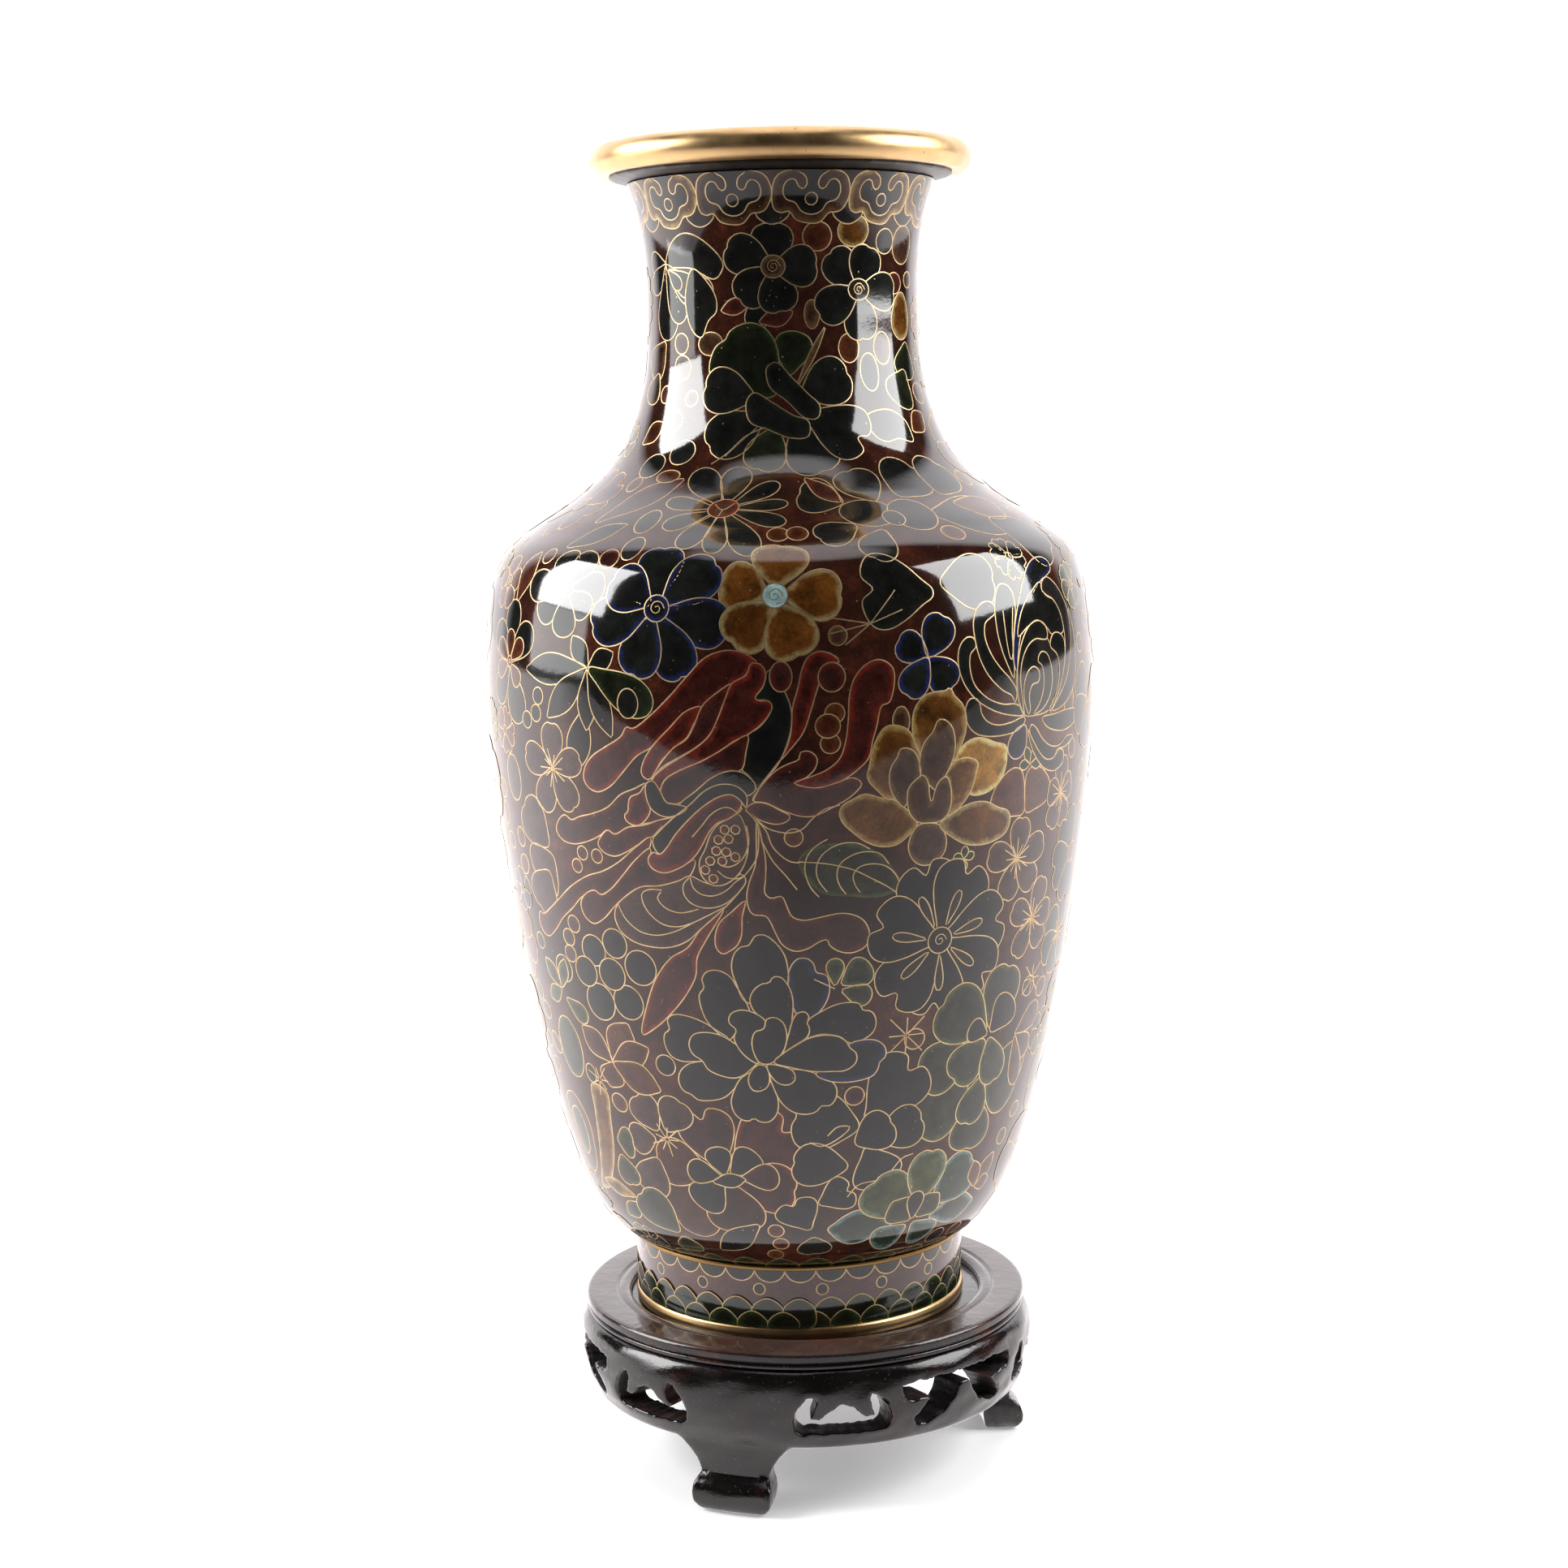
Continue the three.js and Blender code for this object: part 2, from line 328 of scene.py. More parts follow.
def gilt_material(name, brushed, light=(206, 172, 124), deep=(178, 138, 92)):
    """Polished gilt brass with turning lines and a little warm tarnish."""
    n = Nodes(name)
    cloud = n.ramp(n.noise(45, 5.0, 0.6), 0.4, 0.75)
    color = n.mix(cloud, srgb(*light), srgb(*deep))
    spots = n.ramp(n.noise(900, 3.0, 0.7), 0.66, 0.76)
    color = n.mix(spots, color, srgb(120, 74, 40))
    lines = n.noise(brushed, 3.0, 0.6, (1, 1, 14))
    rough = n.ramp(n.noise(160, 4.0), 0.35, 0.7, 0.3, 0.42)
    return n.set(color=color, rough=rough, metal=1.0, normal=n.bump(lines, 0.12, 0.0001))


DUST_FROM, DUST_TO = 0.0359, 0.0366  # heights in metres between which the film of dust begins


def lacquer_material(name, worn, carved=False, dusty=False):
    """Black-brown lacquer over wood: streaky grain, specks, rubbed red-brown places, a dust film."""
    n = Nodes(name)
    grain = n.noise(120, 6.0, 0.65, (1, 1, 7) if not carved else (3, 3, 1))
    streak = n.ramp(grain, 0.42, 0.7)
    color = n.mix(streak, srgb(12, 10, 10), srgb(24, 17, 16))
    if dusty:
        height = n.add("ShaderNodeSeparateXYZ", {0: n.coords}).outputs[2]
        film = n.math("MULTIPLY", n.ramp(n.noise(40, 6.0, 0.7), 0.3, 0.75, 0.2, 0.7),
                      n.ramp(height, DUST_FROM, DUST_TO))
        color = n.mix(film, color, srgb(96, 74, 66))
    rub = n.math("MULTIPLY", n.ramp(n.noise(85, 6.0, 0.7), 0.52, 0.74), worn)
    color = n.mix(rub, color, srgb(92, 46, 28))
    dust = n.math("MULTIPLY", n.ramp(n.noise(1500, 2.0, 0.8), 0.66, 0.72), 0.25)
    color = n.mix(dust, color, srgb(150, 140, 132))
    if carved:
        rough = n.ramp(n.noise(300, 4.0), 0.3, 0.7, 0.35, 0.7)
        normal = n.bump(n.noise(420, 5.0, 0.7, (1, 1, 0.4)), 0.6, 0.0006)
    else:
        rough = n.ramp(n.noise(60, 5.0, 0.6), 0.35, 0.7, 0.08, 0.24)
        normal = n.bump(n.noise(90, 3.0, 0.6), 0.26, 0.0008)
        normal = n.bump(n.noise(700, 4.0, 0.6, (1, 1, 5)), 0.22, 0.0002, normal)
    return n.set(color=color, rough=rough, ior=1.5, normal=normal)


def hammered_normal(n):
    return n.bump(n.noise(110, 3.0), 0.3, 0.0008)


def clouded_material(name, light, dark, scale, normal=None, **sockets):
    """Fired counter enamel or bare metal: clouds of two tones with specks."""
    n = Nodes(name)
    color = n.mix(n.ramp(n.noise(scale, 5.0, 0.6), 0.35, 0.7), light, dark)
    if normal:
        sockets["normal"] = normal(n)
    return n.set(color=speckle(n, color), **sockets)


M_WIRE = wire_material("gilt_wire")
M_RIM = gilt_material("gilt_rim", 500)
M_BAND = gilt_material("gilt_band", 900)
# a darker copy of the band's gilt: painted shade for the waist line in the crease under the body's flare
M_LINE_SHADED = gilt_material("gilt_line_shaded", 900, (146, 116, 72), (112, 82, 48))
M_GROUND = ground_material("enamel_ground", srgb(34, 18, 13), srgb(60, 29, 20), srgb(94, 47, 30))
M_FOOT_GROUND = ground_material("enamel_foot", srgb(62, 41, 38), srgb(80, 54, 49), srgb(96, 64, 55))
M_CELLS = cell_material("enamel_cells")
M_WOOD = lacquer_material("lacquer", 0.2)
M_WOOD_TOP = lacquer_material("lacquer_rubbed", 0.5)
M_WOOD_DUSTY = lacquer_material("lacquer_dusty", 0.6, dusty=True)
M_WOOD_CARVED = lacquer_material("lacquer_carved", 0.8, carved=True)
M_COUNTER = clouded_material("counter_enamel", srgb(52, 112, 124), srgb(36, 84, 98), 90, enamel_normal,
                             rough=0.16, ior=1.55)
M_COPPER = clouded_material("bare_copper", srgb(196, 122, 84), srgb(132, 74, 50), 70, hammered_normal,
                            rough=0.34, metal=1.0)
# near-black metal for the neck core, whose only visible part is the flange under the lip: painted shade
# under the lip's overhang
M_UNDER_LIP_SHADE = clouded_material("under_lip_shade_metal", srgb(20, 18, 18), srgb(34, 27, 23), 130,
                             rough=0.4, metal=0.2)

# ---------------------------------------------------------------- cells and wires
GLAZES = {  # name: fill colour, rim colour, rim strength
    "ink": ((21, 21, 20), (36, 39, 31), 0.45),
    "night": ((21, 23, 21), (38, 52, 112), 0.45),
    "moss": ((22, 25, 16), (42, 60, 25), 0.55),
    "amber": ((84, 49, 15), (178, 164, 112), 0.5),
    "gold": ((138, 96, 26), (206, 200, 132), 0.75),
    "bronze": ((78, 48, 19), (172, 146, 84), 0.6),
    "rust": ((62, 31, 19), (104, 58, 30), 0.5),
    "red": ((56, 23, 18), (116, 37, 26), 0.8),
    "wine": ((46, 23, 19), (94, 36, 27), 0.6),
    "brown": ((52, 33, 23), (108, 84, 54), 0.5),
    "smoke": ((30, 28, 26), (48, 44, 40), 0.4),
    "olive": ((37, 38, 28), (80, 90, 52), 0.6),
    "teal": ((34, 44, 32), (112, 146, 150), 0.6),
    "leaf": ((52, 58, 30), (118, 140, 112), 0.6),
    "pearl": ((140, 168, 168), (180, 206, 206), 0.6),
    "mauve": ((54, 37, 33), (88, 62, 50), 0.45),
    "scale": ((18, 23, 15), (44, 70, 30), 0.6),
}
CELLS = []
WIRES = []
WIRE_WIDTH = 0.27
WIRE_SMOOTH = 4  # curve points per typed point of a wire
CELL_SMOOTH = 5  # and of a cell
CORE_SHARE = 0.86  # a cell's outline, drawn in so that neighbours that only touch don't overlap
ROUND = 6.283  # one full turn in radians
SHIFT, FLIP = 0.0, 1.0  # a motif's own azimuth times FLIP plus SHIFT is its azimuth on the vase


def inside(points, polygon):
    """Which points lie inside the closed polygon."""
    x, y = points[:, 0][:, None], points[:, 1][:, None]
    x0, y0 = polygon[:, 0][None], polygon[:, 1][None]
    x1, y1 = np.roll(polygon[:, 0], -1)[None], np.roll(polygon[:, 1], -1)[None]
    spans = (y0 > y) != (y1 > y)
    cross = x0 + (y - y0) * (x1 - x0) / np.where(y1 == y0, 1e-9, y1 - y0)
    return (spans & (x < cross)).sum(1) % 2 == 1


def near_boxes(a, b):
    """Whether two boxes (low, low, high, high) overlap."""
    return a[0] < b[2] and b[0] < a[2] and a[1] < b[3] and b[1] < a[3]


def box_of(points):
    return (*points.min(0), *points.max(0))


def polar(radius, angle):
    return radius * math.cos(angle), radius * math.sin(angle)


def turn(points):
    """Puts a motif's own azimuths on the side of the vase that is being worked."""
    p = np.array(points, float)
    p[:, 0] = SHIFT + FLIP * p[:, 0]
    return p


def lay_wire(line, closed, width, layer, wall):
    WIRES.append({"line": line, "closed": closed, "width": width, "layer": layer, "wall": wall})


def draw(points, width=WIRE_WIDTH, smooth=WIRE_SMOOTH):
    """A wire on its own along (azimuth, arc length) points of the body."""
    line = turn(points)
    if smooth > 1 and len(line) > 2:
        line = spline(line, smooth)
    layer = 0
    box = box_of(line)
    for other in CELLS:
        if other["wall"] is BODY and near_boxes(box, other["box"]) and inside(line, other["line"]).any():
            layer = max(layer, other["layer"])
    lay_wire(line, False, width, layer, BODY)


def cell(points, glaze, smooth=CELL_SMOOTH, wall=BODY, wired=True):
    """A cell of enamel inside its wire, on top of any cell that it overlaps."""
    line = spline(turn(points), smooth, True)
    box = box_of(line)
    middle = line.mean(0)
    core = middle + (line - middle) * CORE_SHARE
    layer = 0
    for other in CELLS:
        if other["wall"] is wall and near_boxes(box, other["box"]):
            if inside(core, other["line"]).any() or inside(other["core"], line).any():
                layer = max(layer, other["layer"] + 1)
    tint = RNG.uniform(0.82, 1.18)
    CELLS.append({"line": line, "core": core, "box": box, "glaze": glaze, "layer": layer,
                  "wall": wall, "tint": tint})
    if wired:
        lay_wire(line, True, WIRE_WIDTH, layer, wall)


def local(centre, xy, wall=BODY):
    """Millimetres (x, y) about a centre, as azimuth and arc length."""
    p = np.array(xy, float)
    s = centre[1] + p[:, 1]
    return np.stack([centre[0] + np.degrees(p[:, 0] / wall.radius(s)), s], -1)


def spot(centre, xy):
    """One point, x and y mm from a centre."""
    return tuple(local(centre, [xy])[0])


def flat(centre, point):
    """The millimetres from a centre to a point given as azimuth and arc length."""
    r = float(BODY.radius(point[1]))
    return np.array([math.radians(point[0] - centre[0]) * r, point[1] - centre[1]])


PETALS = {  # half outlines from base to tip: (share of length, share of half width)
    "round": [(0.02, 0.1), (0.2, 0.42), (0.45, 0.82), (0.68, 1.0), (0.86, 0.84), (0.97, 0.45)],
    "notch": [(0.02, 0.1), (0.18, 0.46), (0.42, 0.86), (0.66, 1.0), (0.86, 0.86), (0.97, 0.52),
              (0.995, 0.22)],
    "point": [(0.02, 0.08), (0.2, 0.5), (0.42, 0.92), (0.6, 1.0), (0.78, 0.74), (0.92, 0.32)],
    "heart": [(0.02, 0.1), (0.18, 0.34), (0.42, 0.74), (0.66, 1.0), (0.85, 0.98), (0.99, 0.66),
              (1.02, 0.3)],
}
TIPS = {"round": 1.0, "notch": 0.965, "point": 1.0, "heart": 0.87}  # share of length at the middle


def petal(base, tip, width, glaze="ink", kind="round", bend=0.0):
    """A petal or leaf from base to tip, width mm across, bending sideways by bend mm."""
    way = flat(base, tip)
    size = float(np.hypot(*way))
    along = way / size
    across = np.array([-along[1], along[0]])
    right = PETALS[kind]
    left = [(t, -w) for t, w in reversed(right)]
    xy = []
    for t, w in [*right, (TIPS[kind], 0.0), *left]:
        sway = bend * 4 * t * (1 - t)
        xy.append(along * t * size + across * (w * width / 2 + sway))
    cell(local(base, xy), glaze)


def fan(base, leaves, glaze="ink", kind="point"):
    """Petals or leaves from one base, given by (azimuth, arc length, width) of their tips."""
    for az, s, width in leaves:
        petal(base, (az, s), width, glaze, kind)


HEART_START = 0.6  # where petals start and where the curl begins, as shares of a heart's radius
CURL_START = 0.62


def flower(centre, tips, glaze, kind, heart, heart_glaze=None, curl=True):
    """Petals given by (azimuth, arc length, width) of their tips, and a heart of that radius."""
    for az, s, width in tips:
        way = flat(centre, (az, s))
        petal(spot(centre, way / np.hypot(*way) * heart * HEART_START), (az, s), width, glaze, kind)
    if heart:
        ellipse(centre, heart, heart, heart_glaze or glaze)
        if curl:
            spiral(centre, heart * CURL_START)


def lobe(centre, box, glaze="ink", kind="round"):
    """A petal of a flower node that fills the box (az, az, s, s) and points away from the node."""
    a0, a1, s0, s1 = box
    middle = flat(centre, ((a0 + a1) / 2, (s0 + s1) / 2))
    size = max(np.hypot(*middle), 0.1)
    along = middle / size
    across = np.array([-along[1], along[0]])
    corners = np.array([flat(centre, (a, s)) for a in (a0, a1) for s in (s0, s1)])
    reach = (corners @ along).max() * 0.93
    near = max((corners @ along).min(), 0.6)
    span = (corners @ across).max() - (corners @ across).min()
    petal(spot(centre, along * near), spot(centre, along * reach), span * 0.86, glaze, kind)


def lobes(centre, glaze, kind, *boxes):
    for box in boxes:
        lobe(centre, box, glaze, kind)


ELLIPSE_POINTS = 10


def ellipse(centre, rx, ry, glaze="ink", tilt=0.0, wall=BODY):
    """A round or oval cell; rx and ry are its half widths in mm."""
    t = np.radians(tilt)
    xy = []
    for k in range(ELLIPSE_POINTS):
        a = 2 * math.pi * k / ELLIPSE_POINTS
        x, y = rx * math.cos(a), ry * math.sin(a)
        xy.append((x * math.cos(t) - y * math.sin(t), x * math.sin(t) + y * math.cos(t)))
    cell(local(centre, xy, wall), glaze, 4, wall)


def berries(glaze, radius, *centres):
    """Round cells of one size."""
    for centre in centres:
        ellipse(centre, radius, radius, glaze)


def spiral(centre, radius, turns=1.4):
    """A curl of thinner wire that runs inwards."""
    xy = [polar(radius * (1 - 0.75 * t), turns * ROUND * t) for t in np.linspace(0, 1, 12)]
    draw(local(centre, xy), width=WIRE_WIDTH * 0.85, smooth=2)


def star(centre, rays, size):
    """Separate rays of wire about a point, every other one shorter."""
    for k in range(rays):
        a = ROUND * k / rays
        far = size * (1 if k % 2 else 0.72)
        draw(local(centre, [polar(0.4, a), polar(far, a)]), smooth=1)


# ---------------------------------------------------------------- motifs on one side
def neck_motifs():
    """Two plum blossoms, the butterfly flower and what lies round them."""
    for az, s, rx, ry, glaze in (
        (14, 236.8, 3.1, 3, "rust"), (29.5, 238, 3.7, 3.3, "bronze"), (46, 236, 2.6, 2.6, "ink"),
        (58, 235.5, 3.7, 4, "brown"), (53, 227.5, 2.6, 2.2, "wine"), (11.5, 221, 1.6, 3, "brown"),
        (27, 214, 2.4, 3, "rust"), (-31, 215.4, 3, 2.4, "brown"), (-11, 220.5, 2.4, 3, "ink"),
        (36, 209, 2.4, 4, "ink"), (44, 214, 2.5, 3.4, "rust"), (-34, 226, 2.4, 3, "ink"),
    ):
        ellipse((az, s), rx, ry, glaze)
    petal((-12, 224), (-26, 222), 3.4, "wine", "point")
    petal((-10, 219.5), (4, 221.5), 4, "wine", "point")
    petal((-60, 194), (-51, 199), 5, "rust", "point")
    petal((52, 196), (63, 200), 5, "rust", "point")
    flower((-56, 232.2), [(-70, 233, 5), (-69, 227, 5), (-56, 216.5, 8), (-46, 220, 6), (-38, 224, 5)],
           "ink", "round", 0)
    cell([(-56, 232.4), (-52, 236), (-43, 238.3), (-33, 236.5), (-24.5, 231.5), (-28, 228.7), (-40, 231)],
         "ink")
    petal((-55, 231), (-38, 226), 5, "ink")
    petal((-54.5, 231), (-46.5, 227), 3, "ink")
    lobes((-56, 217), "brown", "round", (-70, -57, 209, 216), (-70, -58, 203, 209))
    cell([(-40, 230.8), (-32, 228), (-28, 224.5), (-28, 222), (-32, 220), (-35, 216.8), (-41, 219),
          (-44, 225)], "ink")
    # a plum blossom and its neighbour below the collar
    fan((-4, 230.6), ((-4, 239.6, 8.8), (-23, 235, 8.4), (-18, 224, 8.2), (-1, 221.5, 8.2), (14, 231, 8.6)),
        "ink", "notch")
    ellipse((-3.8, 230.8), 2.5, 2.3, "brown")
    spiral((-3.8, 230.8), 1.5, 1.8)
    fan((32.5, 226), ((19, 233.5, 8), (38, 234.8, 8.4), (53, 225.5, 8), (34, 215.6, 8.4), (14, 221, 8)),
        "ink", "notch")
    ellipse((32.5, 226), 2.6, 2.2, "smoke")
    spiral((32.5, 226), 1.5, 1.8)
    # right edge
    cell([(50.5, 219), (54, 224.5), (60, 225.5), (64, 221), (62, 217), (55, 216)], "amber")
    lobe((61, 216), (52, 66, 207.5, 216), "moss")
    lobe((58, 210), (46, 60, 202, 210), "moss")
    cell([(30, 199), (33, 195), (37, 193.8), (43, 194.5), (50, 193.8), (50, 198), (42, 201)], "ink")
    # the butterfly flower
    for box, glaze, kind in (
        ((-26, -4, 204, 218), "moss", "notch"), ((-4, 11, 209, 218.2), "moss", "round"),
        ((-34.5, -12, 201, 209.8), "ink", "notch"), ((-28.5, -8, 192.5, 200.5), "ink", "notch"),
        ((-12.5, 0, 187, 197), "moss", "notch"), ((0, 16, 186.5, 197.5), "ink", "notch"),
        ((8, 28, 191.8, 202.7), "ink", "heart"), ((7, 27, 202.8, 210.8), "ink", "notch"),
    ):
        lobe((0, 202.5), box, glaze, kind)
    petal((4.5, 206), (17, 218.5), 1.3, "brown", "point")
    cell([(-14.5, 203), (-12, 205), (-5, 203), (3, 200), (8.5, 198.5), (8, 195.5), (2, 195), (-6, 197),
          (-13, 199)], "ink")
    cell([(-7, 210), (-3, 211.3), (3, 208), (9, 204.5), (13, 202), (12, 199.5), (7, 199.5), (1, 203),
          (-6, 206.5)], "ink")
    draw([(-7, 197.5), (-14, 195.5), (-19, 192), (-24, 189)])
    draw([(-10, 197.5), (-16, 194), (-20, 191)])


def shoulder_motifs():
    """The daisy and the broad dark flower where the shoulder is nearly level."""
    petal((-49, 170), (-31, 185), 8, "wine", "point", 0.8)
    ellipse((-33, 171), 2.6, 4, "smoke")
    ellipse((-31.8, 162.4), 2.4, 3.4, "smoke")
    ellipse((-47, 188.5), 3.4, 3.2, "ink")
    ellipse((-36.5, 192), 3.2, 3, "ink")
    ellipse((-37.5, 185.7), 3, 1.8, "rust")
    petal((-50, 162), (-38, 170), 6, "ink", "point")
    petal((-60, 149), (-57, 160.5), 6, "rust", "point")
    flower((-66, 153), [(-66, 159, 5), (-61, 154, 5), (-63, 148, 5), (-69, 148, 5), (-71, 154, 5)], "rust",
           "notch", 1.5)
    # daisy
    flower((-15.5, 175.5), [(-14, 188.2, 6.5), (-2, 183.5, 4.5), (0.3, 177, 3.8), (-0.5, 170, 4.5),
                            (-6.5, 160.3, 6), (-14.5, 160.8, 5), (-21.5, 162.3, 5.5), (-28, 169, 5),
                            (-32, 178, 4.5), (-28, 187.5, 7)],
           "ink", "round", 3.2, "red", False)
    draw([(-18, 177), (-15.5, 175), (-13, 177.4)])
    draw([(-15.5, 175), (-16, 172.8)])
    berries("rust", 2.2, (-2, 166.5), (2, 166.7))
    # the broad dark peony on the shoulder
    for box, glaze in (((28, 45, 180, 187.5), "ink"), ((37, 57, 163.5, 178.5), "smoke"),
                       ((5.5, 14.5, 163.5, 169.8), "ink"), ((15, 21, 158, 167), "smoke"),
                       ((2, 13, 174, 184), "ink"), ((14, 27, 178, 187), "smoke")):
        lobe((24, 173), box, glaze, "notch")
    ellipse((19, 173), 6, 4.6, "ink")
    ellipse((30, 172), 5.4, 5.4, "smoke")
    ellipse((24.5, 171), 2.4, 2.6, "ink")
    petal((5, 185), (13.5, 177), 4, "wine", "point")
    for box in ((42, 58, 180, 188), (46, 62, 170, 177), (50, 66, 158, 168)):
        lobe((42, 176), box, "rust" if box[0] == 46 else "ink", "notch")
    lobe((27, 151), (12, 28, 143.5, 160), "ink", "heart")
    lobe((27, 153), (28, 41, 146, 160), "ink", "notch")


def upper_motifs():
    """The round flowers and the leaf fan under the shoulder's edge."""
    flower((-44, 152.5), [(-48, 160.8, 7), (-40, 160.8, 7), (-35, 153, 7), (-38, 147.5, 6), (-44, 142.5, 7),
                          (-51.5, 146.5, 7), (-56, 153, 7)], "smoke", "round", 1.6)
    flower((-23.7, 149), [(-24.5, 162.6, 10), (-13, 158.3, 10.5), (-10.5, 144.8, 10), (-18.5, 135.2, 9.5),
                          (-28, 135.5, 9.5), (-37, 145, 10), (-33.5, 155, 10.5)], "night", "notch", 2.7)
    flower((-2.4, 151.5), [(-1, 163, 11.5), (-12, 154.5, 10.5), (-10, 142, 10.5), (1.5, 139.3, 11),
                           (9.3, 151.5, 10.5)],
           "amber", "notch", 2.5, "pearl")
    for ray in ((7.5, 146.8), (7, 143.8), (9.5, 141.5), (20, 148), (19, 152)):
        draw([(14, 145.5), ray], smooth=1)
    fan((24.3, 138.3), ((28, 146.4, 7.6), (29, 132, 7.6), (18.8, 142, 6.6), (20, 131, 6.6)), "night",
        "notch")
    # leaf fan
    petal((-38, 129), (-42, 115), 6.5, "ink", "point")
    fan((-37.5, 136.7), ((-54.5, 135.5, 6.5), (-48, 126, 6), (-38, 124, 5), (-32.5, 123, 5),
                         (-41.5, 143, 4.5), (-32, 140, 4.5)), "ink")
    petal((-37.5, 136.7), (-24.3, 129), 8, "moss")
    flower((-61, 136.5), [(-60.5, 149.5, 7), (-53, 144, 7), (-57, 124, 8), (-67, 128, 7), (-68, 144, 7)],
           "ink", "round", 0)
    flower((-61, 136.5), [(-61, 143.3, 4), (-56, 141, 4), (-66.5, 140.5, 4), (-66.5, 134, 4),
                          (-57, 132, 4)], "rust", "round", 1.2)
    berries("ink", 1.8, (-50.7, 130.2), (-51.5, 126.6), (-54.5, 125))
    flower((-47.5, 115.5), [(-47, 125, 7), (-56, 118, 7), (-52, 106.5, 7), (-42.5, 107.5, 7),
                            (-40, 118, 6)], "mauve", "notch", 0)
    star((-47.5, 115.5), 10, 4.2)
    for az, s, rx, ry, glaze in ((13, 131, 2.4, 3.4, "rust"), (-29, 130, 2.4, 3, "ink"),
                                 (19, 126, 1.8, 3, "brown"), (60, 126, 3, 4, "brown"),
                                 (-62, 112, 3.4, 5, "mauve"), (56, 125, 3, 3, "rust")):
        ellipse((az, s), rx, ry, glaze)


def peony_motif():
    """The large red peony with its seed head: long petals sweep up and down to the left of its heart."""
    # petals to the right of the heart
    cell([(0.3, 114.5), (3, 115.6), (6, 117), (8.2, 119.2), (9.2, 122.5), (9.7, 127), (10, 132),
          (11, 135.2), (13, 137.6), (15.3, 138.4), (17.3, 137.2), (17.9, 135.6), (17.6, 132), (16.8, 129.8),
          (15.6, 129.4), (14.6, 125.2), (13.9, 122.5), (13.2, 119), (11.2, 116.7), (9, 115), (7.3, 114.2),
          (4, 113.4)], "red")
    cell([(-2, 119), (0, 121.5), (2, 124.5), (3.4, 129), (4.5, 133), (5.6, 136), (7, 137.8), (8.4, 138.3),
          (7, 139.8), (5, 140.4), (3.2, 139.5), (2, 137), (1.3, 133.5), (0.3, 129.5), (0, 125),
          (-0.8, 121.5)], "red")
    ellipse((7, 135.3), 2.7, 2.9, "wine")
    berries("rust", 2, (7.4, 128.2), (6.6, 122.2))
    ellipse((6.2, 125.7), 2.5, 2.4, "rust")
    cell([(-7.3, 124.2), (-5.5, 125.6), (-4, 127.5), (-3.2, 129.9), (-3.8, 131), (-6, 131.3), (-4.5, 133.8),
          (-4, 136.5), (-3, 137), (-1.5, 134), (0, 129.5), (0, 125.5), (-1, 121.5), (-2.5, 118),
          (-4.5, 115.5), (-6, 113.2), (-6.4, 114.6), (-7.6, 116.4), (-8.5, 117.2), (-7.7, 121)], "ink")
    ellipse((-1.6, 135.6), 2.2, 3, "wine")
    cell([(-6.8, 111), (-4.5, 115), (-2.5, 117.2), (-0.5, 118.4), (1.2, 119.2), (1.5, 120.6), (3, 120.8),
          (4.3, 119.4), (3.9, 117.2), (2.2, 115.4), (0.3, 114.5), (4, 113.4), (7.3, 114.2), (10.5, 115.2),
          (12, 114), (10.5, 111.8), (7, 109.4), (3, 107.6), (-1, 108.6), (-4.6, 110.6)], "wine")
    # tall petals on the left, from the outside in
    cell([(-39.5, 114), (-39, 116.5), (-37, 119), (-34, 121), (-30.5, 123.4), (-29.4, 125.3), (-28.2, 125),
          (-25, 127.4), (-21, 131.6), (-17.5, 136), (-14.5, 139.4), (-11, 140.8), (-8, 140.4),
          (-5.5, 138.4), (-6.4, 138.2), (-7.5, 136), (-10, 134.2), (-13.5, 131), (-17, 128.5), (-21, 125),
          (-24.5, 121.5), (-27.5, 119.6), (-30.5, 116.2), (-33.5, 113), (-36.5, 111.6), (-38.6, 112.4)],
         "red")
    cell([(-24.5, 121.5), (-26.5, 118), (-26.8, 115.8), (-25.6, 114.8), (-24.4, 115.8), (-23, 118.5),
          (-20, 121.8), (-18, 123.5), (-16.8, 126), (-15.2, 129.8), (-18, 128.8), (-21, 125.5)], "red")
    cell([(-25, 114.8), (-23.5, 117.5), (-20.5, 121.4), (-18, 123.3), (-16.6, 126), (-15, 130),
          (-12.5, 132.5), (-9.8, 134.4), (-11, 131), (-12.4, 127.5), (-14, 124), (-16.5, 121.6),
          (-20, 119.3), (-23, 117.3)], "wine")
    cell([(-24.7, 115), (-22.5, 117.3), (-19.5, 119.4), (-16.5, 121.5), (-14, 124), (-12.4, 127.5),
          (-11, 131.5), (-9.8, 134.4), (-7.4, 136), (-6.5, 138.3), (-5, 138.1), (-4.1, 136.4),
          (-4.6, 133.8), (-6, 131.4), (-5, 130.9), (-3.7, 130.9), (-3.1, 129.8), (-4.3, 127.2),
          (-6.8, 124.7), (-10, 122.8), (-13, 120.2), (-16, 118.6), (-19.5, 117), (-22, 115.2), (-23.3, 113),
          (-24.7, 113.4)], "red")
    cell([(-23.3, 112.6), (-22.3, 115), (-19, 117.2), (-15.5, 118.9), (-12.5, 120.8), (-9.5, 123),
          (-7.3, 124.2), (-7.7, 121), (-8.6, 117.2), (-10.5, 117), (-13.5, 115.7), (-16.5, 113),
          (-19, 110.8), (-21, 110), (-22.8, 110.4)], "wine")
    cell([(-6.3, 113.2), (-6.4, 114.6), (-8.4, 116.7), (-10.8, 117), (-13.8, 115.6), (-16.8, 112.8),
          (-19.5, 110.5), (-21, 108.2), (-17.8, 110.2), (-15.2, 112.9), (-12.4, 114.3), (-9.6, 114),
          (-7.8, 112)], "ink")
